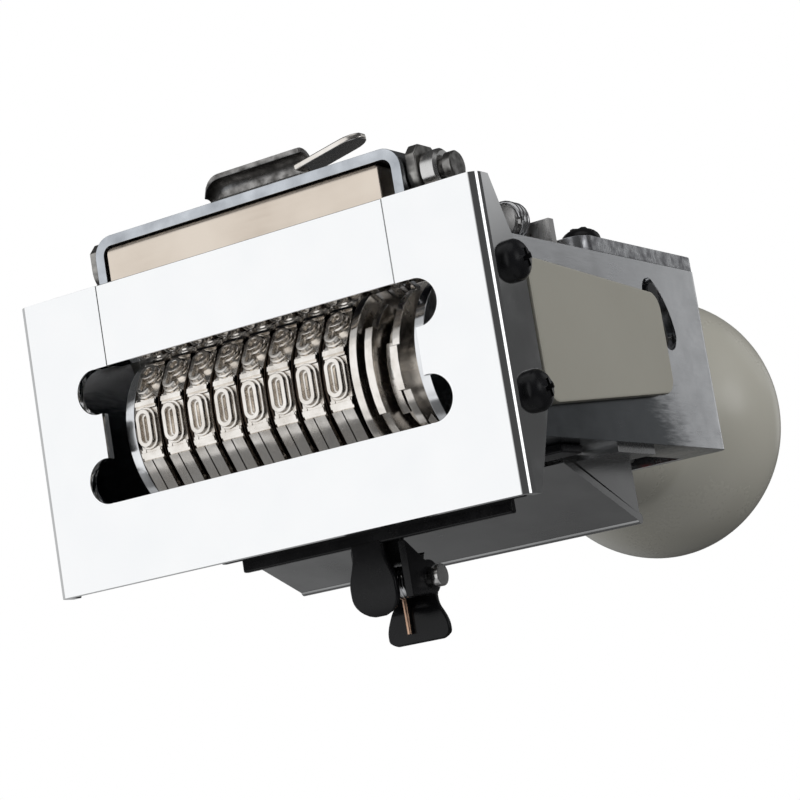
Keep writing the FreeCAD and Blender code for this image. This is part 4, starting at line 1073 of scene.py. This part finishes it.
    def spring(self) -> None:
        """The latch spring on its pin, and its leg that lies on the finger plate."""
        low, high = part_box("latch_spring")
        wire = self.wire
        self.wind("latch_spring_coil", wire, self.turns, (high.z - low.z) / 2 - wire * MM,
                  high.x - low.x - wire * 2 * MM, (low.x + wire * MM, self.pin[0] * MM, self.pin[1] * MM),
                  "latch_spring", turn=math.pi / 2)
        build = bmesh.new()
        add_prism(build, arc(self.leg, wire, 0.0, 330.0, 11), *self.leg_span, along_y)
        self.make("latch_spring_leg", build, COPPER, Slot.SPRING, fold=60.0, body=self.latch)


@dataclass
class DigitShape:
    """The middle lines of the ten digits, as (points, closed) strokes."""

    half: float = 0.82
    high: float = 2.05

    def strokes(self, digit: int) -> list[tuple[list[Flat], bool]]:
        """The strokes of one digit.

        Args:
            digit: The digit, 0 to 9.

        Returns:
            Each stroke's points, in (right, up) from the digit's middle, and whether it is closed.
        """
        half, high = self.half, self.high
        eye = high - half
        if digit == 0:
            return [(arc((0, eye), half, 0, 180, 8) + arc((0, -eye), half, 180, 360, 8), True)]
        if digit == 1:
            return [([(-0.55, high - 0.75), (0.0, high), (0.0, -high)], False)]
        if digit == 2:
            return [(arc((0, eye), half, 175, -25, 9) + [(-half, -high), (half, -high)], False)]
        if digit == 3:
            return [(arc((0, eye - 0.1), half, 150, -80, 8) + arc((0, -eye + 0.25), half * 1.1, 80, -150, 9),
                     False)]
        if digit == 4:
            return [([(0.35, -high), (0.35, high), (-half, -0.75), (half + 0.1, -0.75)], False)]
        if digit == 5:
            return [([(half, high), (-half * 0.9, high), (-half, 0.35)] +
                     arc((0, -eye + 0.4), half * 1.1, 110, -150, 9), False)]
        if digit == 7:
            return [([(-half, high), (half, high), (-0.15, -high)], False)]
        if digit == 8:
            return [(arc((0, eye - 0.2), half * 0.9, 0, 345, 14), True),
                    (arc((0, -eye + 0.2), half * 1.05, 0, 345, 14), True)]
        flip = 1 if digit == 6 else -1
        tail = arc((0, eye), half, 30, 180, 7) + [(-half, -eye + 0.2)]
        loop = arc((0, -eye + 0.15), half * 1.02, 0, 345, 14)
        return [([(u * flip, v * flip) for u, v in tail], False),
                ([(u * flip, v * flip) for u, v in loop], True)]


@dataclass
class Wheels(Assembly):
    """The eight digit wheels: a drum with raised mirrored digits and a ratchet rim beside it."""

    count: int = 8
    faces: int = 11
    apothem: float = 10.35
    band: Flat = (-1.25, 1.7)
    rim: Flat = (-1.7, -1.27)
    shaft_level: float = 13.3
    bore: float = 2.6
    shape: DigitShape = field(default_factory=DigitShape)
    tooth: tuple[Flat, ...] = ((0.0, 8.1), (0.25, 9.3), (0.9, 9.35))
    half_stroke: tuple[Flat, ...] = ((0.55, -0.3), (0.55, 0.45), (0.51, 0.52), (0.3, 0.55), (0.26, 1.1),
                                     (0.22, 1.14))
    sunk: float = -0.3
    pit: Point = (0.42, -2.62, 0.3)

    @property
    def step(self) -> float:
        """The angle from one face to the next, in degrees."""
        return 360.0 / self.faces

    @property
    def corner(self) -> float:
        """How far a corner between two faces is from the shaft."""
        return self.apothem / math.cos(math.pi / self.faces)

    def lift(self, number: int) -> Lift:
        """Makes a map from a face's own (side, up, height) to x, y and z around the shaft.

        Args:
            number: The face, counted from the lowest.

        Returns:
            The map, in millimetres.
        """
        turn = math.radians(-90.0 - self.step * number)
        middle = (self.band[0] + self.band[1]) / 2

        def place(side: float, up: float, high: float) -> Point:
            """Places one point."""
            reach = self.apothem + high
            return (middle - side, reach * math.cos(turn) + up * math.sin(turn),
                    reach * math.sin(turn) - up * math.cos(turn))
        return place

    def drum(self) -> bpy.types.Mesh:
        """Makes the drum with one flat per digit, and its bore.

        Returns:
            Its mesh.
        """
        build = bmesh.new()
        corner, parts = self.corner, 4
        outer, inner = [], []
        for index in range(self.faces * parts):
            turn = math.radians(-90.0 - self.step / 2 + self.step * index / parts)
            whole, part = divmod(index, parts)
            start = math.radians(-90.0 - self.step / 2 + self.step * whole)
            end = start + math.radians(self.step)
            blend = part / parts
            outer.append((corner * (math.cos(start) * (1 - blend) + math.cos(end) * blend),
                          corner * (math.sin(start) * (1 - blend) + math.sin(end) * blend)))
            inner.append((self.bore * math.cos(turn), self.bore * math.sin(turn)))
        add_tube(build, outer, inner, *self.band)
        return mesh_from(build, "wheel_drum")

    def ratchet(self) -> bpy.types.Mesh:
        """Makes the ratchet rim: a saw-toothed ring beside the drum, with two teeth per face.

        Returns:
            Its mesh.
        """
        build = bmesh.new()
        outer, inner = [], []
        teeth = self.faces * 2
        for number in range(teeth):
            for share, reach in self.tooth:
                turn = 2 * math.pi * (number + share) / teeth
                outer.append((reach * math.cos(turn), reach * math.sin(turn)))
                inner.append((self.bore * math.cos(turn), self.bore * math.sin(turn)))
        add_tube(build, outer, inner, *self.rim)
        return mesh_from(build, "wheel_ratchet")

    def digits(self) -> bpy.types.Mesh:
        """Makes the raised digits, mirrored because they print, the plain face after the 1 and the pits.

        Returns:
            Their mesh.
        """
        build = bmesh.new()
        section = [*self.half_stroke] + [(-side, high) for side, high in self.half_stroke[::-1]]
        for number in range(self.faces - 1):
            for path, closed in self.shape.strokes((10 - number) % 10):
                add_ribbon(build, path, closed, section, self.lift(number))
        place = self.lift(self.faces - 1)
        half = (self.band[1] - self.band[0]) / 2
        for start, end, high in ((-half, -0.28, 0.62), (-0.2, 0.12, 0.5), (0.2, half, 0.62)):
            add_prism(build, [(start, -2.4), (end, -2.4), (end, 2.5), (start, 2.5)], self.sunk, high, place)
        inset, level, radius = self.pit
        for number in range(self.faces):
            for side in (-1, 1):
                circle = arc((side * (half - inset), level), radius, 0.0, 315.0, 7)
                add_prism(build, circle, self.sunk, -self.sunk, self.lift(number))
        return mesh_from(build, "wheel_digits")

    def ridges(self) -> bpy.types.Mesh:
        """Makes the stepped bars between the faces.

        Returns:
            Their mesh.
        """
        build = bmesh.new()
        for wide, low, high in ((0.62, -0.5, 0.1), (0.3, 0.05, 0.34)):
            add_box(build, (self.band[0], self.corner + low, -wide), (self.band[1], self.corner + high, wide))
        piece = new_piece("ridge_seed", mesh_from(build, "ridge_seed"), NICKEL)
        RING.grow(piece, NICKEL, Count=self.faces, First=math.radians(-90.0 - self.step / 2),
                  Step=math.radians(self.step))
        mesh = piece.data
        bpy.data.objects.remove(piece)
        return mesh

    def build(self) -> None:
        """Builds one wheel and sets a copy on each wheel's place."""
        pattern = join_meshes("wheel_pattern", (self.drum(), self.digits(), self.ridges()), NICKEL)
        bevelled(pattern, 0.05 * MM, 1, 30.0)
        rim = new_piece("rim_pattern", self.ratchet(), NICKEL_DARK)
        bevelled(rim, 0.04 * MM, 1, 30.0)
        for number in range(1, self.count + 1):
            node = f"digit_wheel_{number}"
            low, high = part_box(node)
            move = Matrix.Translation(((low.x + high.x) / 2, 0.0, self.shaft_level * MM))
            for source, name, finish, stands in ((pattern, "type", NICKEL, (node,)),
                                                 (rim, "ratchet", NICKEL_DARK, ())):
                mesh = source.data.copy()
                mesh.transform(move)
                piece = new_piece(f"{node}_{name}", mesh, finish)
                self.add(piece, Slot.NICKEL, *stands, body=f"wheel_{number}")
        for source in (pattern, rim):
            bpy.data.objects.remove(source)


@dataclass
class Carriage(Assembly):
    """The carriage plates, the shaft, the discs beside the wheels and the knob on its rod."""

    shaft_level: float = 13.3
    shaft_radius: float = 2.5
    discs: int = 3
    disc_width: float = 1.05
    disc_pitch: float = 1.7
    block_depths: tuple[float, ...] = (0.0, 1.9, 0.5, 2.6, 0.0, 1.2, 3.2, 0.6, 2.0, 0.0, 2.8, 1.0)
    blade: Point = (0.11, 0.28, 5.2)
    blade_gap: float = 0.34
    blade_top: Flat = (-9.1, 9.8)
    blade_lean: float = -24.0
    belly_level: float = 106.0
    belly: float = 17.0
    neck_level: float = 93.0
    neck: float = 12.6
    foot: float = 10.2
    foot_round: float = 0.6
    hollow: float = 7.4
    ceiling: float = 98.0

    def build(self) -> None:
        """Builds the carriage."""
        for node, finish, slot, edge in (
                ("carriage_frame", MILLED, Slot.SHEET, 0.12), ("plunger_rod", STEEL, Slot.STEEL, 0.4),
                ("plunger_nut", BLACK, Slot.BLACK, 0.3), ("wheel_shaft", STEEL, Slot.STEEL, 0.35),
                ("shaft_clips", STEEL, Slot.STEEL, 0.1), ("wheel_spacers", BRONZE, Slot.BRONZE, 0.05),
                ("detent_bar", NICKEL, Slot.NICKEL, 0.25), ("detent_springs", WIRE, Slot.SPRING, 0.08),
                ("pad_pivot_pins", DARK, Slot.STEEL, 0.3), ("drive_disc", NICKEL, Slot.NICKEL, 0.12)):
            self.dress(node, finish, slot, edge)
        self.repeat_discs()
        self.blades()
        self.knob()

    def repeat_discs(self) -> None:
        """The repeat discs, each with blocks of its own height around its rim."""
        low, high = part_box("repeat_discs")
        reach = (high.y - low.y) / 2 / MM
        spread = (high.x - low.x) / MM - self.disc_width
        blocks = len(self.block_depths)
        build = bmesh.new()
        for number in range(self.discs):
            outer, inner = [], []
            start = low.x / MM + spread / 2 * number
            for block in range(blocks):
                radius = reach - self.block_depths[(block * 5 + number * 4) % blocks]
                for share in (0.02, 0.35, 0.68, 0.98):
                    turn = math.radians(360.0 / blocks * (block + share) + number * 9.0)
                    for outline, far in ((outer, radius), (inner, self.shaft_radius)):
                        outline.append((far * math.cos(turn), self.shaft_level + far * math.sin(turn)))
            add_tube(build, outer, inner, start, start + self.disc_width)
        self.make("repeat_disc_blocks", build, NICKEL, Slot.NICKEL, "repeat_discs", edge=0.09)

    def blades(self) -> None:
        """The thin spring blades that reach down between the discs from the front."""
        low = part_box("repeat_discs")[0]
        half, deep, long = self.blade
        seed = bmesh.new()
        add_box(seed, (-half, -deep, -long), (half, deep, 0.0))
        piece = new_piece("disc_blades", mesh_from(seed, "disc_blades"), WIRE)
        ROW.grow(piece, WIRE, Count=self.discs + 1, Step=(self.disc_pitch * MM, 0.0, 0.0),
                 Start=(low.x - self.blade_gap * MM, self.blade_top[0] * MM, self.blade_top[1] * MM),
                 Turn=(math.radians(self.blade_lean), 0.0, 0.0))
        bevelled(piece, 0.04 * MM, 1)
        self.add(piece, Slot.SPRING)

    def knob(self) -> None:
        """The handle knob: a neck that swells into a flattened ball, hollow for the spring."""
        low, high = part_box("handle_knob")
        widest, start = high.x / MM, low.z / MM
        crown = high.z / MM - self.belly_level
        edge = start + self.foot_round
        profile = [(0.0, self.ceiling), (self.hollow, self.ceiling), (self.hollow, start + 0.5),
                   (self.hollow + 0.5, start), (self.foot - self.foot_round, start), (self.foot, edge)]
        steps = 60
        for step in range(1, steps + 1):
            z = edge + (self.belly_level - edge) * step / steps
            stem = self.foot + (self.neck - self.foot) * (z - start) / (self.neck_level - start)
            ball = widest * math.sqrt(max(0.0, 1.0 - ((self.belly_level - z) / self.belly) ** 2))
            gap = max(0.0, 1.0 - abs(stem - ball) / 3.0)
            profile.append((min(widest, max(stem, ball) + 0.75 * gap * gap), z))
        profile += [(widest * across, self.belly_level + crown * rise)
                    for across, rise in arc((0.0, 0.0), 1.0, 0.0, 90.0, 32)[1:-1]]
        profile.append((0.0, high.z / MM))
        self.make("knob_bulb", lathe(profile, 128), KNOB, Slot.PLASTIC, "handle_knob", fold=40.0)


@dataclass
class Pad(Assembly):
    """The ink pad in its case, the holder, the arms, their pins and the clip."""

    clip: str = "pad_clip"
    holder_bend: float = 2.5
    holder_gauge: float = 1.3
    case_round: float = 0.9
    felt_round: float = 1.2
    felt_crown: float = 0.45
    felt_ripple: float = 0.03
    pin_start: float = 20.9
    rivet_end: float = 23.69
    head_long: float = 1.6
    collar_long: float = 2.3
    trough: float = 2.3
    trough_gauge: float = 0.6
    trough_nose: float = 2.6
    lip_start: float = 3.0
    lip_level: float = 6.2
    hinge: Point = (0.65, 6.8, 0.55)
    tab_half: float = 1.9
    tab_level: float = 8.6
    tab_thick: float = 0.75

    def build(self) -> None:
        """Builds the pad."""
        self.holder()
        self.case()
        self.felt()
        for node in ("pad_arm_right", "pad_arm_left"):
            self.dress(node, ARM, Slot.BLACK, 0.35)
        self.pins()
        self.clip_lever()
        self.clip_tab()

    def holder(self) -> None:
        """The holder: a U of bright sheet with rounded bends."""
        low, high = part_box("pad_holder")
        half, web, back = high.x / MM, low.y / MM, high.y / MM
        bend, gauge = self.holder_bend, self.holder_gauge
        left, right = (-half + bend, web + bend), (half - bend, web + bend)
        outline = [(-half, back)] + arc(left, bend, 180, 270, 8) + arc(right, bend, 270, 360, 8)
        outline += [(half, back), (half - gauge, back)]
        outline += arc(right, bend - gauge, 0, -90, 6) + arc(left, bend - gauge, -90, -180, 6)
        outline += [(-half + gauge, back)]
        build = bmesh.new()
        add_prism(build, outline, low.z / MM, high.z / MM, along_z)
        self.make("holder_sheet", build, HOLDER, Slot.SHEET, "pad_holder", edge=0.12)

    def case(self) -> None:
        """The pad case: a drawn tray with soft edges, open towards the wheels."""
        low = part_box("pad_case")[0]
        build = joined_copy("pad_case")
        soft = [edge for edge in build.edges if edge.is_manifold and edge.calc_face_angle() > 0.5
                and all(abs(vert.co.y - low.y) < 1e-5 for vert in edge.verts)]
        bmesh.ops.bevel(build, geom=soft, offset=self.case_round * MM, segments=5, affect="EDGES",
                        profile=0.5)
        self.make("case_tray", build, CASE, Slot.CASE, "pad_case", edge=0.12)

    def felt(self) -> None:
        """The inked felt: a firm block with a slightly crowned face and a fibrous surface."""
        low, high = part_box("ink_pad")
        across, tall = 60, 20
        wide, deep, ripple = high.x - low.x, high.z - low.z, self.felt_ripple * MM
        build = bmesh.new()
        grid = []
        for row in range(tall + 1):
            line = []
            for column in range(across + 1):
                u, v = column / across, row / tall
                edges = (min(u, 1 - u) * wide, min(v, 1 - v) * deep)
                fall = sum(max(0.0, 1.0 - gap / (self.felt_round * MM)) ** 2 for gap in edges)
                wave = ripple * math.sin(column * 1.7 + row * 2.3) * math.sin(column * 0.9 - row * 1.1)
                face = high.y - fall * self.felt_crown * MM - ripple + wave
                line.append(build.verts.new((low.x + wide * u, face, low.z + deep * v)))
            grid.append(line)
        for under, over in zip(grid, grid[1:]):
            for column in range(across):
                build.faces.new([under[column], under[column + 1], over[column + 1], over[column]])
        rim = grid[0] + [line[-1] for line in grid[1:]] + grid[-1][-2::-1]
        rim += [line[0] for line in grid[-2:0:-1]]
        back = [build.verts.new((vert.co.x, low.y, vert.co.z)) for vert in rim]
        close_rows(build, (rim, back), caps=False)
        build.faces.new(back)
        piece = self.make("felt_block", build, FELT, Slot.FELT, "ink_pad", fold=50.0)

    def pins(self) -> None:
        """The holder pins: a stud with a bright collar and a dark head, and a flush rivet at the left."""
        low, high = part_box("holder_pins")
        middle = Matrix.Translation((0.0, (low.y + high.y) / 2, (low.z + high.z) / 2))
        end = high.x / MM
        head = end - self.head_long
        collar = head - self.collar_long
        start, flush = self.pin_start, self.rivet_end
        profiles = {
            "collar": [(0.0, start), (1.2, start), (1.2, collar), (2.2, collar), (2.5, collar + 0.3),
                       (2.5, head - 0.35), (2.15, head), (0.0, head)],
            "head": [(0.0, head - 0.2), (1.2, head - 0.2), (1.2, head + 0.35), (1.75, head + 0.5),
                     (1.75, end - 0.15), (1.6, end), (0.0, end)],
            "rivet": [(0.0, start), (1.2, start), (1.2, flush - 0.09), (1.1, flush), (0.0, flush)]}
        for name, side, finish, replaced in (("collar", 1, STEEL, ("holder_pins",)), ("head", 1, DARK, ()),
                                             ("rivet", -1, STEEL, ())):
            build = lathe(profiles[name], 48)
            place = middle @ Matrix.Rotation(side * math.pi / 2, 4, "Y")
            bmesh.ops.transform(build, matrix=place, verts=build.verts)
            self.make(f"holder_pin_{name}", build, finish, Slot.STEEL, *replaced, fold=40.0)

    def clip_lever(self) -> None:
        """The clip's lever: a trough of dark sheet with a rounded left end, on its hinge rod."""
        low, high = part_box("pad_clip_lever")
        start, end = low.x / MM, high.x / MM
        radius, back = self.trough, high.y / MM
        middle = (back - radius, high.z / MM - radius)
        build = bmesh.new()
        steps = 28
        rows = []
        for step in range(steps + 1):
            x = start + (end - start) * step / steps
            near = max(0.0, 1.0 - (x - start) / self.trough_nose)
            scale = math.sqrt(max(0.04, 1.0 - near * near))
            ring = []
            for reach, first, last in ((radius, -20.0, 200.0), (radius - self.trough_gauge, 200.0, -20.0)):
                for across, rise in arc((0.0, 0.0), reach, first, last, 14):
                    spot = (x, middle[0] + across * scale + radius * 0.35 * (1 - scale),
                            middle[1] + rise * (0.35 + 0.65 * scale))
                    ring.append(build.verts.new(Vector(spot) * MM))
            rows.append(ring)
        close_rows(build, rows)
        add_box(build, (start + self.lip_start, back - 0.62, self.lip_level),
                (end, back - 0.05, middle[1] + 0.4))
        self.make("clip_trough", build, DARK, Slot.DARK, "pad_clip_lever", edge=0.1, body=self.clip)
        rod = bmesh.new()
        inset, level, thick = self.hinge
        add_prism(rod, arc((back - inset, level), thick, 0, 345, 15), start + 2.0, end + 0.4, along_x)
        self.make("clip_hinge_rod", rod, STEEL, Slot.DARK, edge=0.1, body=self.clip)

    def clip_tab(self) -> None:
        """The thumb tab: a nickel blade that rises outwards to a rounded tip."""
        low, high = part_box("pad_clip_tab")
        start, end = low.x / MM, high.x / MM
        back, front = high.y / MM, low.y / MM
        path, widths = [], []
        steps = 22
        for step in range(steps + 1):
            share = step / steps
            half = self.tab_half * math.sqrt(max(0.05, 1.0 - max(0.0, (share - 0.75) / 0.26) ** 2))
            path.append((start - 0.5 + (end - start + 0.3) * share,
                         back - 2.0 + (front + 2.45 - back) * share))
            widths.append((self.tab_level - half, self.tab_level + half))
        sheet = bent_sheet(path, widths, self.tab_thick, along_z)
        self.make("clip_thumb_tab", sheet, NICKEL, Slot.NICKEL, "pad_clip_tab", edge=0.2, steps=3,
                  body=self.clip)


@dataclass
class Inside(Assembly):
    """The pawl carrier, the drive lever and the selector dial with its numbers."""

    grips: int = 24
    grip: float = 0.22
    shape: DigitShape = field(default_factory=lambda: DigitShape(0.5, 1.15))
    stroke: tuple[Flat, ...] = ((0.24, 0.0), (0.24, 0.2), (-0.24, 0.2), (-0.24, 0.0))
    inset: float = 1.9

    def build(self) -> None:
        """Builds what moves inside the frame."""
        self.dress("pawl_carrier", NICKEL, Slot.NICKEL, 0.2)
        self.dress("drive_lever", BLACK, Slot.BLACK, 0.25, body="lever")
        self.dial()

    def dial(self) -> None:
        """The selector dial: a knurled disc with red numbers around its rear face."""
        low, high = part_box("selector_dial")
        middle = Vector(((low.x + high.x) / 2, 0.0, (low.z + high.z) / 2)) / MM
        reach, face = (high.x - low.x) / 2 / MM, high.y / MM
        points = []
        for step in range(96):
            turn = 2 * math.pi * step / 96
            far = reach - 0.1 - self.grip * (0.5 + 0.5 * math.cos(turn * self.grips))
            points.append((middle.x + far * math.cos(turn), middle.z + far * math.sin(turn)))
        disc = bmesh.new()
        add_prism(disc, points, low.y / MM, face - 0.25, along_y)
        self.make("dial_disc", disc, DIAL, Slot.DIAL, "selector_dial", edge=0.12, body="dial")
        numbers = bmesh.new()
        for digit in range(1, 9):
            turn = math.radians(45.0 * digit)

            def place(side: float, up: float, rise: float, turn: float = turn) -> Point:
                """Places a point of a number's own (side, up, height) on the dial."""
                out = up + reach - self.inset
                return (middle.x - (out * math.sin(turn) + side * math.cos(turn)), face - 0.3 + rise,
                        middle.z + out * math.cos(turn) - side * math.sin(turn))
            for path, closed in self.shape.strokes(digit):
                add_ribbon(numbers, path, closed, self.stroke, place)
        self.make("dial_numbers", numbers, NUMERAL, Slot.DIAL, fold=30.0, body="dial")


# Stage, lights and camera
@dataclass(frozen=True)
class Softbox:
    """A soft area light.

    Args:
        name: Its name.
        place: Where it hangs.
        target: What it points at.
        size: Its width and height.
        power: Its power in watts.
    """

    name: str
    place: Point
    target: Point
    size: Flat
    power: float

    def build(self) -> None:
        """Hangs the light and turns it towards its target."""
        data = bpy.data.lights.new(self.name, "AREA")
        data.shape = "RECTANGLE"
        data.size, data.size_y = self.size
        data.energy = self.power
        lamp = bpy.data.objects.new(self.name, data)
        lamp.location = self.place
        aim = Vector(self.target) - Vector(self.place)
        lamp.rotation_euler = aim.to_track_quat("-Z", "Y").to_euler()
        lamp.visible_glossy = False
        bpy.context.scene.collection.objects.link(lamp)


@dataclass(frozen=True)
class Card:
    """A bright round card far away that only the surroundings hold.

    Args:
        towards: Direction of its middle.
        inner: Radius of its full brightness, degrees.
        outer: Radius where it has faded out, degrees.
        bright: Its brightness.
    """

    towards: Point
    inner: float
    outer: float
    bright: float


@dataclass(frozen=True)
class Studio:
    """The floor, the surroundings, the lights and the camera."""

    eye: Point = (0.15908, 0.04729, -0.23770)
    right: Point = (0.8375, 0.1599, 0.5225)
    up: Point = (0.2157, -0.9753, -0.0473)
    back: Point = (0.5021, 0.1524, -0.8513)
    lens: float = 112.87
    lights: tuple[Softbox, ...] = (
        Softbox("below", (-0.3, -0.1, -0.7), (0.0, 0.0, 0.04), (0.7, 0.7), 3.0),
        Softbox("left_front", (-0.6, -0.5, 0.1), (0.0, 0.0, 0.04), (0.4, 0.5), 1.5),
        Softbox("right_side", (0.75, -0.3, 0.1), (0.0, 0.0, 0.08), (0.6, 0.7), 6.5),
    )

    dark: float = 0.06
    cards: tuple[Card, ...] = (
        Card((-0.5, -0.1, -0.87), 34.0, 52.0, 0.97),
        Card((0.96, -0.2, 0.0), 9.0, 15.0, 1.5),
        Card((0.2, -0.12, 0.97), 10.5, 15.0, 0.55),
        Card((0.45, -0.45, 0.77), 13.0, 17.0, 0.4),
        Card((-0.9, 0.1, 0.25), 20.0, 55.0, 0.5),
        Card((-0.5, 0.7, 0.5), 5.0, 40.0, 0.13),
        Card((-0.5, 0.7, -0.5), 10.0, 35.0, 0.5),
        Card((0.25, -0.9, -0.3), 18.0, 34.0, 0.7),
        Card((0.3, 0.9, -0.2), 20.0, 50.0, 0.35),
    )

    def build(self) -> None:
        """Builds the studio."""
        self.floor()
        self.surroundings()
        for light in self.lights:
            light.build()
        self.camera()

    def floor(self) -> None:
        """A pale floor that is seen from above only, and that takes no light from the machine."""
        build = bmesh.new()
        bmesh.ops.create_grid(build, x_segments=1, y_segments=1, size=3.0)
        for vert in build.verts:
            vert.co.z = -0.0004
        mesh = bpy.data.meshes.new("floor")
        build.to_mesh(mesh)
        build.free()
        plane = bpy.data.objects.new("floor", mesh)
        bpy.context.scene.collection.objects.link(plane)
        material = bpy.data.materials.new("pale_floor")
        material.use_nodes = True
        graph, nodes = Graph(material.node_tree), material.node_tree.nodes
        shader = nodes["Principled BSDF"]
        shader.inputs["Base Color"].default_value = (0.82, 0.82, 0.82, 1.0)
        shader.inputs["Roughness"].default_value = 0.6
        self.cross(graph, graph.node("ShaderNodeNewGeometry").outputs["Backfacing"], shader.outputs["BSDF"],
                   graph.node("ShaderNodeBsdfTransparent").outputs["BSDF"], nodes["Material Output"])
        mesh.materials.append(material)
        plane.visible_diffuse = False
        plane.visible_glossy = False
        plane.visible_shadow = False

    def cross(self, graph: Graph, share: bpy.types.NodeSocket, first: bpy.types.NodeSocket,
              second: bpy.types.NodeSocket, output: bpy.types.Node) -> None:
        """Leads two shaders, of which one shows, to an output.

        Args:
            graph: Their nodes.
            share: 0 where the first shows and 1 where the second does.
            first: The first shader.
            second: The second shader.
            output: The output node.
        """
        both = graph.node("ShaderNodeMixShader", Fac=share)
        graph.feed(both.inputs[1], first)
        graph.feed(both.inputs[2], second)
        graph.feed(output.inputs["Surface"], both.outputs["Shader"])

    def surroundings(self) -> None:
        """White background; around the machine, soft bright cards in a dark room for the metal to mirror."""
        world = bpy.data.worlds.new("studio")
        bpy.context.scene.world = world
        world.use_nodes = True
        graph, nodes = Graph(world.node_tree), world.node_tree.nodes
        room = nodes["Background"]
        place = graph.node("ShaderNodeTexCoord").outputs["Generated"]
        glows = []
        for card in self.cards:
            near = graph.vectors("DOT_PRODUCT", place, Vector(card.towards).normalized())
            start, end = (math.cos(math.radians(angle)) for angle in (card.outer, card.inner))
            glows.append(graph.ease(near, start, end, card.bright))
        graph.feed(room.inputs["Strength"], graph.maths("MAXIMUM", graph.greatest(glows), self.dark))
        room.inputs["Color"].default_value = (0.98, 0.99, 1.0, 1.0)
        plain = graph.node("ShaderNodeBackground", Color=(1.0, 1.0, 1.0, 1.0)).outputs["Background"]
        self.cross(graph, graph.node("ShaderNodeLightPath").outputs["Is Camera Ray"],
                   room.outputs["Background"], plain, nodes["World Output"])
        bpy.context.scene.view_settings.view_transform = "Standard"

    def camera(self) -> None:
        """The camera, below the foot and to the right."""
        data = bpy.data.cameras.new("camera")
        data.lens = self.lens
        data.clip_start, data.clip_end = 0.01, 20.0
        camera = bpy.data.objects.new("camera", data)
        turn = Matrix((self.right, self.up, self.back)).transposed()
        camera.rotation_euler = turn.to_euler()
        camera.location = self.eye
        bpy.context.scene.collection.objects.link(camera)
        bpy.context.scene.camera = camera


def main() -> None:
    """Builds every sub-assembly, then the studio."""
    logging.basicConfig(level=logging.INFO, format="%(name)s: %(message)s")
    for assembly in (Foot("frame"), Frame("frame"), Rear("frame"), Carriage("carriage"), Wheels("wheel_1"),
                     Pad("pad"), Inside("pawls")):
        assembly.build()
    Studio().build()


if __name__ == "__main__":
    main()
